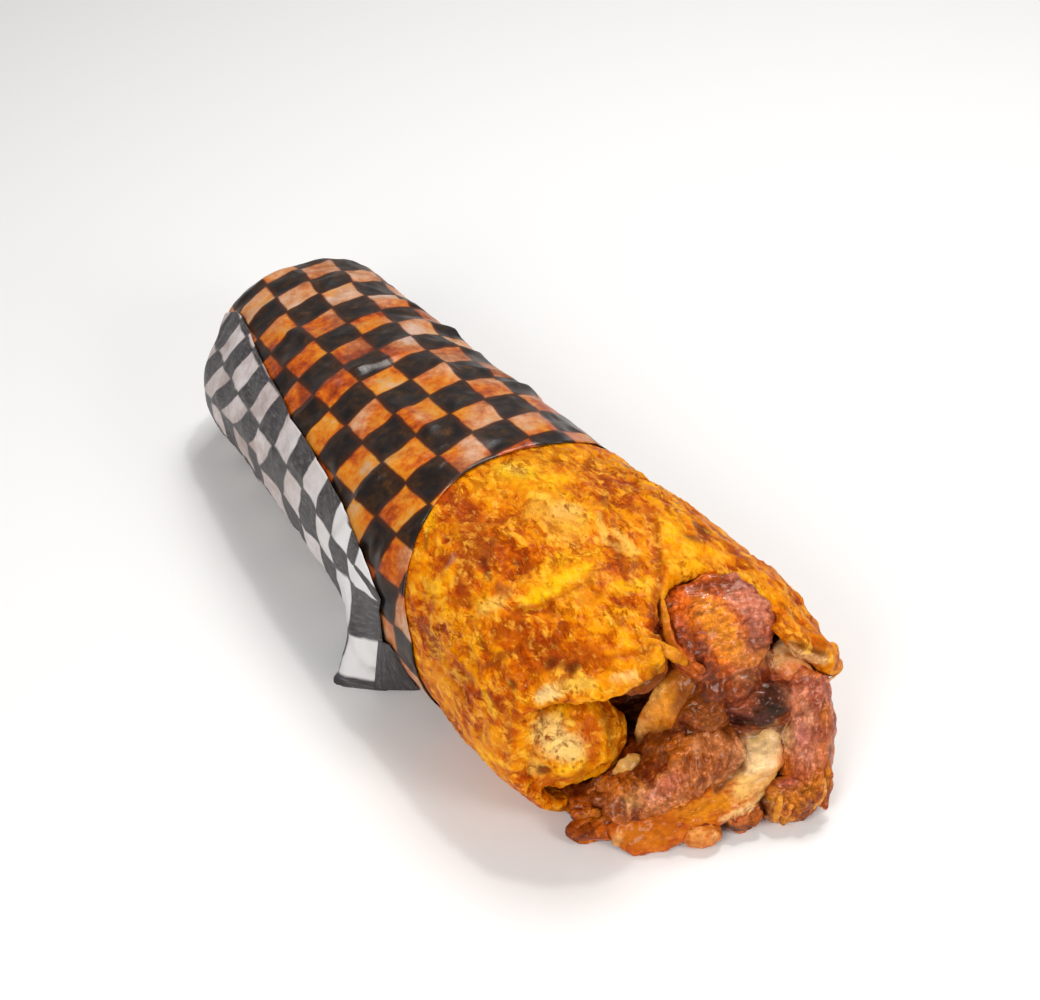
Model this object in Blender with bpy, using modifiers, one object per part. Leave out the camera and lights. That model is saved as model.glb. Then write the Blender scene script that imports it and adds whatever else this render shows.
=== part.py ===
"""Beef wrap: a tortilla rolled round saucy beef, with its far half in checkered deli paper.

The roll lies along Y, as served: its open mouth looks towards -Y, its wrapped end towards +Y,
and its flattened underside rests on Z = 0. Sizes are in millimetres and become metres once,
as each mesh is built.
"""
import math
from bisect import bisect_right

import bmesh
import bpy
from mathutils import Euler, Vector, noise

MM = 0.001

# ---- Driving sizes, millimetres and degrees -------------------------------------------------
# The roll's outline at stations along Y: left side, right side and height.
ROLL = [
    (-120, -32, 51, 50),
    (-95, -38, 53, 57),
    (-75, -40, 50, 60.5),
    (-45, -40.5, 45, 62),
    (-15, -40, 40, 62),
    (10, -39, 38, 61),
    (45, -37.5, 36, 58.5),
    (76, -35, 34.5, 55.5),
    (100, -29, 34, 53),
    (112, -24.5, 33, 50.5),
]
ROUNDNESS = 2.3        # exponent of the section's superellipse: 2 is an ellipse
SINK = 3.0             # how far the section is flattened by its own weight
END_START = 107.0      # where the wrapped end begins to round over
END_ROUND = 9.0        # radius of that rounding
CROWDING = 1.18        # rows of facets stand closer together towards the mouth: 1 is even
NOISE_SCALE = 0.16     # bumps of an uneven piece, per millimetre

# Tortilla
WALL = 3.0             # folded tortilla round the filling
TORTILLA_TUCK = 7.0    # the tortilla's closed end stays this far inside the paper's
TORTILLA_TURNS = 36    # facets round the roll
TORTILLA_ROWS = 17     # facets along it
CLOSED_HOLE = 6.0      # the closed ends inside the paper shrink to this radius and are capped
UNDERSIDE = 1.4        # height of its flat underside where the paper lies under it
BARE = (-38, -56)      # places along Y between which the bare tortilla's swellings come in
# Mouth rim: turn round the roll (0 right, 90 top, 180 left, 270 underneath) and place along Y.
MOUTH = [
    (0, -114), (20, -118), (36, -119), (50, -112), (60, -101), (70, -93), (82, -92), (90, -98),
    (97, -110), (106, -113), (122, -110), (142, -102), (160, -99), (180, -102), (205, -104),
    (240, -103), (270, -105), (320, -108), (360, -114),
]
# Soft swellings and hollows of the bare tortilla: Y, turn, reach along Y, reach in turn, height.
SWELLINGS = [
    (-58, 92, 14, 26, 1.5), (-62, 140, 12, 18, 1.2), (-84, 125, 9, 22, 1.6), (-78, 60, 16, 16, 1.3),
    (-76, 104, 5, 24, -1.6), (-90, 84, 14, 5, -1.5), (-94, 150, 12, 14, 1.0), (-100, 35, 12, 16, 1.6),
    (-70, 170, 10, 10, -1.0), (-60, 20, 14, 14, 1.0), (-88, 190, 14, 12, 0.9), (-97, 108, 6, 20, 1.4),
]
# Tucked-in side of the tortilla that closes the mouth's left: a soft pillow.
# Centre, half sizes, turn in degrees, squareness and unevenness, as for every rounded piece here.
PILLOW = ((-18.5, -94, 22), (17, 12.5, 13.5), (0, 10, -16), 2.2, 0.6)
# Beads along the rim: radius, depth below the skin and the turns they run between.
LIP = (2.6, 1.6, 98, 162)     # thick rolled edge over the pillow
CUFF = (4.6, 2.6, 8, 52)      # the fold at the mouth's right
BEAD_STEPS = 8
BEAD_TIP = 0.45        # share of its radius that a bead keeps at its ends

# Paper
PAPER = 0.4            # thickness
LAYER = 0.9            # outer face of the first layer above the tortilla
SECOND_LAYER = 1.85    # outer face of the overlapping layer
PAPER_TURNS = 46
PAPER_ROWS = 12
END_ROWS = 5
PUCKER_HOLE = 2.2      # the gathered end leaves a pinhole of this radius
PUCKER_DEPTH = 4.0     # how far the gathers dip in round it
PUCKER_SPAN = (0.55, 1.0)    # shares of the end's face over which they dip
PLEATS = 11
PLEAT_HEIGHT = 0.8
PLEAT_SPAN = (0.15, 0.5)     # shares of the end's face over which the pleats come in
SHEET_START = 225      # hidden edge of the sheet, low on the left under the flap
SHEET_END = -191       # the flap's free edge at the front, more than one turn on
LAP = (-96, -128)      # turns over which the sheet climbs on to its own first layer
# Front edge of the sheet against turn; the sheet runs from the hidden edge over the top, down
# the right, underneath and up the left again.
FRONT_EDGE = [
    (-191, -39), (-170, -37.5), (-135, -35), (-100, -26), (-60, -20), (0, -21), (30, -27),
    (54, -30), (74, -31), (88, -30), (100, -30.5), (114, -33), (131, -38.5), (147, -44),
    (159, -48), (175, -55), (225, -60),
]
# Free edge of the outer flap: Y and turn.
FLAP_EDGE = [
    (-40, 169), (-33, 164), (-10, 151), (8, 146.5), (31, 141), (69, 133.5), (95, 131),
    (107, 138), (120, 160),
]
FLAP_FLARE = 6.2       # how far the flap stands off near the wrapped end
FLARE_TURNS = ((-110, -150), (-208, -178))    # turns where that comes in, from either side
FLARE_ALONG = ((68, 106), (113, 106))           # the same along Y
# Corner of the flap that bends out and stands on the table: how far out it reaches, along Y.
TAIL = [(-38, 6), (-30, 17), (-20.5, 24), (-10, 6), (0, 0)]
TAIL_FOOT = (-92, -118, -128)   # turns where the bend starts, is full, and starts to lean back
TAIL_TOP = -183
TAIL_HEEL = 14         # turn over which the corner's foot leaves the table
TAIL_GROUNDED = 9      # reach from which the corner stands right down on the table
# Shallow folds of the paper: Y, turn, reach along Y, reach in turn, height.
CREASES = [
    (33, 112, 2.2, 26, 0.9), (31, 140, 7, 5, 1.2), (-12, 128, 3, 10, 0.7), (70, 60, 3, 22, 0.8),
    (8, 35, 3, 20, 0.7), (92, 100, 3, 30, 0.6), (48, 170, 3, 18, 0.7), (-5, 100, 10, 4, 0.6),
]

# Filling
CORE_FRONT = -94       # where the packed filling ends behind the mouth, at the roll's middle
CORE_SLANT = 0.3       # how much nearer the mouth it comes for each millimetre to the right
CORE_TUCK = 6.0        # the filling's far end stays this far inside the tortilla's
CORE_GAP = 0.6         # between the filling and the tortilla's inner face
CORE_TURNS = 24
CORE_ROWS = 7
CLEARANCE = 0.35       # gap kept between pieces that touch
# Colour and roughness of each kind of surface.
FINISHES = {
    "tortilla": ((0.83, 0.38, 0.04), 0.45),
    "paper": ((0.62, 0.52, 0.45), 0.55),
    "beef_brown": ((0.28, 0.07, 0.02), 0.4),
    "beef_dark": ((0.17, 0.04, 0.03), 0.4),
    "beef_red": ((0.38, 0.10, 0.05), 0.4),
    "onion": ((0.72, 0.36, 0.10), 0.4),
}
# Lumps of the mouth: name, centre, half sizes, turn in degrees, squareness, unevenness, finish.
LUMPS = [
    ("round_slice", (22.5, -103, 45), (14.5, 13.5, 4.6), (42, -4, -18), 2.4, 0.9, "beef_red"),
    ("charred_chunk", (27, -114, 27.5), (10, 8.5, 6.5), (25, 10, -20), 2.6, 1.2, "beef_dark"),
    ("pale_slice", (41.5, -115, 33.5), (9.5, 6.5, 2.8), (26, 18, -24), 2.6, 0.5, "onion"),
    ("right_slice", (36, -122.5, 18), (7, 8.5, 20), (-26, 17, 0), 2.6, 1.3, "beef_red"),
    ("brown_chunk", (14, -108, 24), (9.5, 8, 10), (20, 8, 10), 2.4, 1.1, "beef_brown"),
    ("ribbed_slice", (1, -116, 15), (20, 7.5, 6.5), (32, -20, -12), 2.8, 0.8, "beef_red"),
    ("cream_bit", (-4, -100, 9.5), (6, 4.5, 3.2), (20, 0, -15), 2.6, 0.3, "onion"),
    ("front_bit", (2, -127, 3.4), (5.5, 4, 3.4), (0, 0, -30), 2.4, 0.5, "onion"),
    ("right_bit", (15, -127, 4.6), (6.5, 4.5, 4.6), (0, 0, 20), 2.4, 0.6, "beef_red"),
    ("shred_bundle", (26, -130, 5.5), (8, 5.5, 6), (0, 0, -30), 2.4, 1.0, "beef_brown"),
]
# Strips of onion and beef: name, path, width, thickness, face direction, finish.
STRIPS = [
    ("onion_strip", [(15, -105, 38), (7, -107, 33), (2, -106, 24), (1.5, -105, 11)],
     9, 3.4, (-0.5, -0.8, 0.35), "onion"),
    ("long_strip", [(-18, -116, 4), (-8, -121, 6), (6, -124.5, 9), (18, -125, 14), (28, -121, 21)],
     13, 4.2, (-0.15, -0.75, 0.65), "onion"),
    ("left_tip", [(-28, -108, 3.2), (-20, -112, 4.2), (-12, -114.5, 6)],
     7, 4.6, (-0.2, -0.6, 0.8), "beef_red"),
]
STRIP_RINGS = 9
STRIP_SIDES = 8
STRIP_BLUNTNESS = 6    # the strips' ends are rounder the lower this even number is
STRIP_TIP = 0.12       # square of the share of its width that a strip keeps at its ends
STRIP_RIPPLE = 0.08    # share by which its width wavers
RIPPLE_RATE = 9.0      # radians of that wave along the strip
LUMP_TURNS = 12
LUMP_ROWS = 8
# Saucy heap that carries them, as a lump.
HEAP = ((6, -101, 6), (30, 19.5, 14), (6, -10, -14), 2.3, 1.6)
HEAP_SEED = 4.0


# ---- Small helpers --------------------------------------------------------------------------
def through(points, place):
    """Smooth value at a place on the curve through sorted (place, value) pairs."""
    places = [point[0] for point in points]
    values = [point[1] for point in points]
    if place <= places[0]:
        return values[0]
    if place >= places[-1]:
        return values[-1]
    i = bisect_right(places, place) - 1

    def slope(k):
        before = max(k - 1, 0)
        after = min(k + 1, len(points) - 1)
        return (values[after] - values[before]) / (places[after] - places[before])

    span = places[i + 1] - places[i]
    t = (place - places[i]) / span
    rise = (2 * t ** 3 - 3 * t ** 2 + 1) * values[i] + (3 * t ** 2 - 2 * t ** 3) * values[i + 1]
    return rise + span * ((t ** 3 - 2 * t ** 2 + t) * slope(i) + (t ** 3 - t ** 2) * slope(i + 1))


def smooth_step(low, high, value):
    """0 below low, 1 above high and a soft rise between; low may be the larger."""
    t = min(max((value - low) / (high - low), 0.0), 1.0)
    return t * t * (3 - 2 * t)


def bumps(table, y, turn):
    """Sum of the soft round bumps of a table at a place on the roll."""
    total = 0.0
    for centre_y, centre_turn, reach_y, reach_turn, height in table:
        along = (y - centre_y) / reach_y
        around = ((turn - centre_turn + 180) % 360 - 180) / reach_turn
        total += height * math.exp(-(along ** 2 + around ** 2))
    return total


def swell(y, turn):
    """How far the bare tortilla, and what clings to it, stands out from the plain roll."""
    return smooth_step(*BARE, y) * bumps(SWELLINGS, y, turn)


def roll_point(travel, turn, lift=0.0, floor=0.0, end=END_START):
    """Point on the roll's skin. Travel runs along Y and, past the end, over the closed end."""
    y = min(travel, end)
    left, right, height = (through([(row[0], row[k]) for row in ROLL], y) for k in (1, 2, 3))
    centre = (left + right) / 2
    half = (right - left) / 2 + lift
    middle = (height - SINK) / 2
    c = math.cos(math.radians(turn))
    s = math.sin(math.radians(turn))
    x = centre + half * math.copysign(abs(c) ** (2 / ROUNDNESS), c)
    z = middle + ((height + SINK) / 2 + lift) * math.copysign(abs(s) ** (2 / ROUNDNESS), s)
    z = max(z, floor)
    past = max(travel - end, 0.0)
    if past:
        bend = min(past / END_ROUND, math.pi / 2)
        inset = (END_ROUND + lift) * (1 - math.cos(bend))
        inset += max(past - END_ROUND * math.pi / 2, 0.0)
        keep = max(1 - inset / half, 0.0)
        x = centre + (x - centre) * keep
        z = middle + (z - middle) * keep
        y = end + (END_ROUND + lift) * math.sin(bend)
    return Vector((x, y, z))


def end_travel(hole, end=END_START):
    """Travel at which the closed end has shrunk to a hole of the given radius."""
    left, right = (through([(row[0], row[k]) for row in ROLL], end) for k in (1, 2))
    return end + END_ROUND * math.pi / 2 + (right - left) / 2 - END_ROUND - hole


def add_object(name, bm, collection):
    """Make an object from a mesh worked in millimetres."""
    bmesh.ops.scale(bm, verts=bm.verts, vec=(MM, MM, MM))
    mesh = bpy.data.meshes.new(name)
    bm.to_mesh(mesh)
    bm.free()
    piece = bpy.data.objects.new(name, mesh)
    collection.objects.link(piece)
    return piece


def settle(piece, settled):
    """Put a settled mesh in place of the one a piece had before its modifiers."""
    before = piece.data
    piece.modifiers.clear()
    piece.data = settled
    bpy.data.meshes.remove(before)


def apply_modifiers(piece):
    graph = bpy.context.evaluated_depsgraph_get()
    settle(piece, bpy.data.meshes.new_from_object(piece.evaluated_get(graph)))


def keep_main_body(piece):
    """Keep only the largest connected body of a cut piece, in triangles."""
    bm = bmesh.new()
    bm.from_mesh(piece.data)
    bmesh.ops.triangulate(bm, faces=bm.faces)
    waiting = set(bm.verts)
    bodies = []
    while waiting:
        body = {waiting.pop()}
        edge_of = list(body)
        while edge_of:
            for edge in edge_of.pop().link_edges:
                for vert in edge.verts:
                    if vert in waiting:
                        waiting.discard(vert)
                        body.add(vert)
                        edge_of.append(vert)
        bodies.append(body)
    main = max(bodies, key=len)
    scraps = [vert for vert in bm.verts if vert not in main]
    bmesh.ops.delete(bm, geom=scraps, context="VERTS")
    bm.to_mesh(piece.data)
    bm.free()


def swollen_copy(piece, collection):
    """Copy of a piece, grown by the clearance, to cut its neighbours with."""
    copy = bpy.data.objects.new("room_for_" + piece.name, piece.data.copy())
    collection.objects.link(copy)
    copy.hide_render = True
    copy.display_type = "WIRE"
    bm = bmesh.new()
    bm.from_mesh(copy.data)
    bmesh.ops.remove_doubles(bm, verts=bm.verts, dist=0.01 * MM)
    bm.normal_update()
    moved = [(vert, vert.co + vert.normal * CLEARANCE * MM) for vert in bm.verts]
    for vert, place in moved:
        vert.co = place
    bm.to_mesh(copy.data)
    bm.free()
    return copy


def boxes_meet(one, other):
    """Whether the boxes round two pieces, with the clearance, overlap."""
    for axis in range(3):
        one_range = [vert.co[axis] for vert in one.data.vertices]
        other_range = [vert.co[axis] for vert in other.data.vertices]
        if min(one_range) > max(other_range) + CLEARANCE * MM:
            return False
        if min(other_range) > max(one_range) + CLEARANCE * MM:
            return False
    return True


def make_room(piece, neighbours, cutters):
    """Cut a piece back from each neighbour that it would touch."""
    for neighbour in neighbours:
        if not boxes_meet(piece, neighbour):
            continue
        cutter = swollen_copy(neighbour, cutters)
        cut = piece.modifiers.new("room", "BOOLEAN")
        cut.operation = "DIFFERENCE"
        cut.object = cutter
        if not leaves_closed_solid(piece):
            cut.solver = "MANIFOLD"
        apply_modifiers(piece)
        spare = cutter.data
        bpy.data.objects.remove(cutter)
        bpy.data.meshes.remove(spare)
        keep_main_body(piece)


def leaves_closed_solid(piece):
    """Whether the piece, with its modifiers, is a mesh without open edges."""
    graph = bpy.context.evaluated_depsgraph_get()
    shown = piece.evaluated_get(graph)
    bm = bmesh.new()
    bm.from_mesh(shown.to_mesh())
    closed = len(bm.faces) > 0 and all(edge.is_manifold for edge in bm.edges)
    bm.free()
    shown.to_mesh_clear()
    return closed


def fuse(piece, extras):
    """Join extra solids to a piece by one union on their collection, then drop them."""
    group = bpy.data.collections.new(piece.name + "_extras")
    bpy.context.scene.collection.children.link(group)
    for extra in extras:
        for owner in list(extra.users_collection):
            owner.objects.unlink(extra)
        group.objects.link(extra)
    join = piece.modifiers.new("fuse", "BOOLEAN")
    join.operation = "UNION"
    join.operand_type = "COLLECTION"
    join.collection = group
    if not leaves_closed_solid(piece):
        join.solver = "MANIFOLD"
    apply_modifiers(piece)
    for extra in extras:
        bpy.data.objects.remove(extra)
    bpy.data.collections.remove(group)
    keep_main_body(piece)


def finish(piece, kind):
    """Give a piece its own material and smooth shading."""
    colour, roughness = FINISHES[kind]
    material = bpy.data.materials.new(piece.name + "_finish")
    material.use_nodes = True
    shader = material.node_tree.nodes["Principled BSDF"]
    shader.inputs["Base Color"].default_value = (*colour, 1)
    shader.inputs["Roughness"].default_value = roughness
    shader.inputs["Metallic"].default_value = 0.0
    piece.data.materials.clear()
    piece.data.materials.append(material)
    piece.data.shade_smooth()


# ---- Solids ---------------------------------------------------------------------------------
def grid_faces(bm, rows, closed):
    """Quads between successive rows of vertices; each row may close on itself."""
    for low, high in zip(rows, rows[1:]):
        count = len(low)
        for i in range(count if closed else count - 1):
            j = (i + 1) % count
            bm.faces.new((low[i], low[j], high[j], high[i]))


def thicken(piece, thickness):
    """Give an open outer skin its wall, grown inwards."""
    wall = piece.modifiers.new("wall", "SOLIDIFY")
    wall.thickness = thickness * MM
    wall.offset = -1.0
    wall.use_even_offset = False
    apply_modifiers(piece)


def lump(name, centre, half, turn, squareness, unevenness, collection, seed=0.0):
    """Rounded block of meat: a sphere drawn out to a superellipsoid, with an uneven skin."""
    bm = bmesh.new()
    bmesh.ops.create_uvsphere(bm, u_segments=LUMP_TURNS, v_segments=LUMP_ROWS, radius=1.0)
    pose = Euler([math.radians(angle) for angle in turn]).to_matrix()
    for vert in bm.verts:
        direction = vert.co.normalized()
        reach = sum(abs(part) ** squareness for part in direction) ** (-1 / squareness)
        point = Vector([part * reach * size for part, size in zip(direction, half)])
        wobble = noise.noise(point * NOISE_SCALE + Vector((seed, seed, 0))) * unevenness
        point += direction * wobble
        place = pose @ point + Vector(centre)
        vert.co = (place.x, place.y, max(place.z, 0.0))
    return add_object(name, bm, collection)


def curve_point(path, t):
    """Point at 0 <= t <= 1 along the smooth curve through a path."""
    steps = range(len(path))
    place = t * (len(path) - 1)
    return Vector([through([(k, path[k][axis]) for k in steps], place) for axis in range(3)])


def strip(name, path, width, thickness, face, collection):
    """Flat strip with round edges along a path, tapered to blunt ends."""
    bm = bmesh.new()
    rings = []
    for k in range(STRIP_RINGS):
        t = k / (STRIP_RINGS - 1)
        place = curve_point(path, t)
        behind = curve_point(path, max(t - 0.02, 0))
        ahead = (curve_point(path, min(t + 0.02, 1)) - behind).normalized()
        side = ahead.cross(Vector(face)).normalized()
        up = side.cross(ahead).normalized()
        full = math.sqrt(max(1 - (2 * t - 1) ** STRIP_BLUNTNESS, STRIP_TIP))
        ripple = 1 + STRIP_RIPPLE * math.sin(RIPPLE_RATE * t + width)
        ring = []
        for i in range(STRIP_SIDES):
            angle = 2 * math.pi * i / STRIP_SIDES
            point = place + side * math.cos(angle) * width / 2 * full * ripple
            point += up * math.sin(angle) * thickness / 2 * full
            ring.append(bm.verts.new((point.x, point.y, max(point.z, 0.0))))
        rings.append(ring)
    grid_faces(bm, rings, closed=True)
    bm.faces.new(list(reversed(rings[0])))
    bm.faces.new(rings[-1])
    bmesh.ops.triangulate(bm, faces=bm.faces)
    bmesh.ops.recalc_face_normals(bm, faces=bm.faces)
    return add_object(name, bm, collection)


def tube_along(name, points, radius, collection):
    """Round bead with capped ends along a list of points, as a mesh."""
    curve = bpy.data.curves.new(name, "CURVE")
    curve.dimensions = "3D"
    curve.bevel_depth = radius * MM
    curve.bevel_resolution = 2
    curve.use_fill_caps = True
    spline = curve.splines.new("POLY")
    spline.points.add(len(points) - 1)
    for k, point in enumerate(points):
        spline.points[k].co = (*(point * MM), 1)
        full = math.sqrt(math.sin(math.pi * k / (len(points) - 1)))
        spline.points[k].radius = BEAD_TIP + (1 - BEAD_TIP) * full
    guide = bpy.data.objects.new(name + "_curve", curve)
    collection.objects.link(guide)
    graph = bpy.context.evaluated_depsgraph_get()
    mesh = bpy.data.meshes.new_from_object(guide.evaluated_get(graph))
    bpy.data.objects.remove(guide)
    bm = bmesh.new()
    bm.from_mesh(mesh)
    bmesh.ops.remove_doubles(bm, verts=bm.verts, dist=0.01 * MM)
    bmesh.ops.recalc_face_normals(bm, faces=bm.faces)
    bm.to_mesh(mesh)
    bm.free()
    bead = bpy.data.objects.new(name, mesh)
    collection.objects.link(bead)
    return bead


def rim_bead(name, bead, collection):
    """Rolled edge along a stretch of the mouth's rim, sunk a little into the tortilla's skin."""
    radius, depth, first, last = bead
    points = []
    for k in range(BEAD_STEPS + 1):
        turn = first + (last - first) * k / BEAD_STEPS
        y = through(MOUTH, turn)
        points.append(roll_point(y, turn, swell(y, turn) - depth))
    return tube_along(name, points, radius, collection)


def tortilla(collection):
    """The rolled tortilla: one wall, shut at the wrapped end, with its folds at the mouth."""
    end = END_START - TORTILLA_TUCK
    last = end_travel(CLOSED_HOLE, end)
    bm = bmesh.new()
    rows = []
    for k in range(TORTILLA_ROWS + END_ROWS):
        row = []
        for i in range(TORTILLA_TURNS):
            turn = 360 * i / TORTILLA_TURNS
            rim = through(MOUTH, turn)
            if k <= TORTILLA_ROWS:
                travel = rim + (end - rim) * (k / TORTILLA_ROWS) ** CROWDING
            else:
                travel = end + (last - end) * (k - TORTILLA_ROWS) / (END_ROWS - 1)
            floor = UNDERSIDE * (1 - smooth_step(*BARE, travel))
            point = roll_point(travel, turn, swell(travel, turn), floor, end)
            row.append(bm.verts.new(point))
        rows.append(row)
    grid_faces(bm, rows, closed=True)
    middle = sum((vert.co for vert in rows[-1]), Vector()) / TORTILLA_TURNS
    pole = bm.verts.new(middle)
    for i in range(TORTILLA_TURNS):
        bm.faces.new((rows[-1][i], rows[-1][(i + 1) % TORTILLA_TURNS], pole))
    bmesh.ops.recalc_face_normals(bm, faces=bm.faces)
    piece = add_object("tortilla", bm, collection)
    thicken(piece, WALL)
    pillow = lump("pillow", *PILLOW, collection)
    lip = rim_bead("lip", LIP, collection)
    cuff = rim_bead("cuff", CUFF, collection)
    fuse(piece, [pillow, lip, cuff])
    finish(piece, "tortilla")
    return piece


def wrapping_paper(collection):
    """One sheet wound once and a quarter round the roll, gathered shut at the far end."""
    last = end_travel(PUCKER_HOLE)
    bm = bmesh.new()
    rows = []
    for k in range(PAPER_ROWS + END_ROWS + 2):
        row = []
        for i in range(PAPER_TURNS + 1):
            share = i / PAPER_TURNS
            front_turn = SHEET_START + (SHEET_END - SHEET_START) * share
            front = through(FRONT_EDGE, front_turn)
            if k <= PAPER_ROWS:
                travel = front + (END_START - front) * (k / PAPER_ROWS) ** CROWDING
            else:
                travel = END_START + (last - END_START) * (k - PAPER_ROWS) / (END_ROWS + 1)
            free_turn = through(FLAP_EDGE, travel) - 360
            turn = SHEET_START + (free_turn - SHEET_START) * share
            row.append(bm.verts.new(paper_point(travel, turn, last)))
        rows.append(row)
    grid_faces(bm, rows, closed=False)
    piece = add_object("wrapping_paper", bm, collection)
    thicken(piece, PAPER)
    finish(piece, "paper")
    return piece


def paper_point(travel, turn, last):
    """Point on the sheet's outer face, with its folds, its flared flap and its bent corner."""
    over = smooth_step(*LAP, turn)
    lift = LAYER + (SECOND_LAYER - LAYER) * over
    lift += bumps(CREASES, travel, turn) + swell(travel, turn)
    flare = FLAP_FLARE
    for span, place in zip(FLARE_TURNS + FLARE_ALONG, (turn, turn, travel, travel)):
        flare *= smooth_step(*span, place)
    lift += flare
    point = roll_point(travel, turn, lift)
    past = max(travel - END_START, 0.0) / (last - END_START)
    pleat = PLEAT_HEIGHT * math.cos(math.radians(turn) * PLEATS) * math.sin(math.pi * past)
    point.y += pleat * smooth_step(*PLEAT_SPAN, past)
    point.y -= PUCKER_DEPTH * smooth_step(*PUCKER_SPAN, past)
    start, full, lean = TAIL_FOOT
    reach = through(TAIL, travel)
    if turn > full:
        out = smooth_step(start, full, turn)
        foot = out
    else:
        out = min(max((turn - TAIL_TOP) / (lean - TAIL_TOP), 0.0), 1.0) ** 2
        foot = smooth_step(lean - TAIL_HEEL, lean, turn)
    point.x -= reach * out
    point.z *= 1 - foot * min(reach / TAIL_GROUNDED, 1.0)
    return point


def beef_filling(collection):
    """The packed filling through the whole roll, with the saucy heap that spills at the mouth."""
    end = END_START - TORTILLA_TUCK - CORE_TUCK
    depth = WALL + CORE_GAP
    last = end_travel(CLOSED_HOLE, end)
    bm = bmesh.new()
    rows = []
    for k in range(CORE_ROWS + END_ROWS):
        row = []
        for i in range(CORE_TURNS):
            turn = 360 * i / CORE_TURNS
            front = CORE_FRONT - CORE_SLANT * roll_point(CORE_FRONT, turn).x
            if k <= CORE_ROWS:
                travel = front + (end - front) * k / CORE_ROWS
            else:
                travel = end + (last - end) * (k - CORE_ROWS) / (END_ROWS - 1)
            row.append(bm.verts.new(roll_point(travel, turn, -depth, UNDERSIDE + depth, end)))
        rows.append(row)
    grid_faces(bm, rows, closed=True)
    bm.faces.new(rows[0])
    bm.faces.new(rows[-1])
    bmesh.ops.triangulate(bm, faces=bm.faces)
    bmesh.ops.recalc_face_normals(bm, faces=bm.faces)
    piece = add_object("beef_filling", bm, collection)
    heap = lump("heap", *HEAP, collection, seed=HEAP_SEED)
    fuse(piece, [heap])
    return piece


def build():
    for old in list(bpy.data.objects):
        bpy.data.objects.remove(old)
    wrap = bpy.data.collections.new("beef_wrap")
    cutters = bpy.data.collections.new("cutters")
    for group in (wrap, cutters):
        bpy.context.scene.collection.children.link(group)
    placed = [tortilla(wrap)]
    wrapping_paper(wrap)
    order = ["round_slice", "charred_chunk", "onion_strip", "pale_slice", "right_slice", "long_strip",
             "ribbed_slice", "brown_chunk", "cream_bit", "front_bit", "right_bit", "shred_bundle",
             "left_tip"]
    recipes = {row[0]: row for row in LUMPS + STRIPS}
    for seed, name in enumerate(order):
        recipe = recipes[name]
        if recipe in LUMPS:
            piece = lump(*recipe[:6], wrap, seed=seed + 1.0)
        else:
            piece = strip(*recipe[:5], wrap)
        make_room(piece, placed, cutters)
        finish(piece, recipe[-1])
        placed.append(piece)
    filling = beef_filling(wrap)
    make_room(filling, placed, cutters)
    finish(filling, "beef_brown")


build()
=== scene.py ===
# %% [markdown]
# # Beef wrap in checkered paper
# A tortilla rolled round saucy beef and onion lies on its side. Its far half is wrapped in
# checkered deli paper, and its open mouth spills slices of meat towards us. The CAD model gives
# every piece its true size and place. Here each of them gets the finer shape and the finish of
# the real food. Lengths are written in millimetres, because a cook or a paper maker would measure
# them so, and they become metres at the last moment.

# %% Load the fixed frame
import math
import random
from bisect import bisect_right

import bpy
import numpy as np
from mathutils import Euler, Matrix, Vector, noise


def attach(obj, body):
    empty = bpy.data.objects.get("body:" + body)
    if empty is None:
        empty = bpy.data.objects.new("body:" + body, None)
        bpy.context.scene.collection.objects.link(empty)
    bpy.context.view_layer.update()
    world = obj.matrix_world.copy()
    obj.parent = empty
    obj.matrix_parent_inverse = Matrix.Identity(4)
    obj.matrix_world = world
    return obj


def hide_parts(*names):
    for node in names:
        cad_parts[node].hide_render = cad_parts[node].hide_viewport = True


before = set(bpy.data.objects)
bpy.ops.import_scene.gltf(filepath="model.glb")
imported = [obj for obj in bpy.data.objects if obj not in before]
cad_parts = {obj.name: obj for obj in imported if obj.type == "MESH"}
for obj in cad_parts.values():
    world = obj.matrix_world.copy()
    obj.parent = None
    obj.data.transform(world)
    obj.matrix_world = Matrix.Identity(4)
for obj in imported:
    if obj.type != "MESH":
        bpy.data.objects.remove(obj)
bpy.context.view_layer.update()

MM = 0.001

# %% [markdown]
# ## Working like a person at the bench
# Blender's operators act on whatever is selected, so the first helper selects one piece and
# nothing else. The second adds a modifier with its settings and applies it straight away, which is
# how a modeller would work through remeshing, smoothing and thinning out a mesh. The others copy a
# CAD piece, join pieces, add a soft lump, and raise or lower a skin point by point.


# %% Helpers for pieces
def only(piece):
    """Select one piece and make it the active one."""
    bpy.ops.object.select_all(action="DESELECT")
    piece.select_set(True)
    bpy.context.view_layer.objects.active = piece


def modify(piece, kind, **settings):
    """Add a modifier with its settings and apply it."""
    only(piece)
    modifier = piece.modifiers.new(kind.lower(), kind)
    for name, value in settings.items():
        setattr(modifier, name, value)
    bpy.ops.object.modifier_apply(modifier=modifier.name)


def copy_of(node, name):
    """Copy a CAD node's mesh into a new piece and weld its loose triangles."""
    piece = bpy.data.objects.new(name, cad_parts[node].data.copy())
    bpy.context.scene.collection.objects.link(piece)
    piece.data.materials.clear()
    only(piece)
    bpy.ops.object.mode_set(mode="EDIT")
    bpy.ops.mesh.select_all(action="SELECT")
    bpy.ops.mesh.remove_doubles(threshold=0.01 * MM)
    bpy.ops.object.mode_set(mode="OBJECT")
    return piece


def merge(pieces, whole):
    """Join pieces to a whole one."""
    bpy.ops.object.select_all(action="DESELECT")
    for piece in pieces + [whole]:
        piece.select_set(True)
    bpy.context.view_layer.objects.active = whole
    bpy.ops.object.join()


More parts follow.
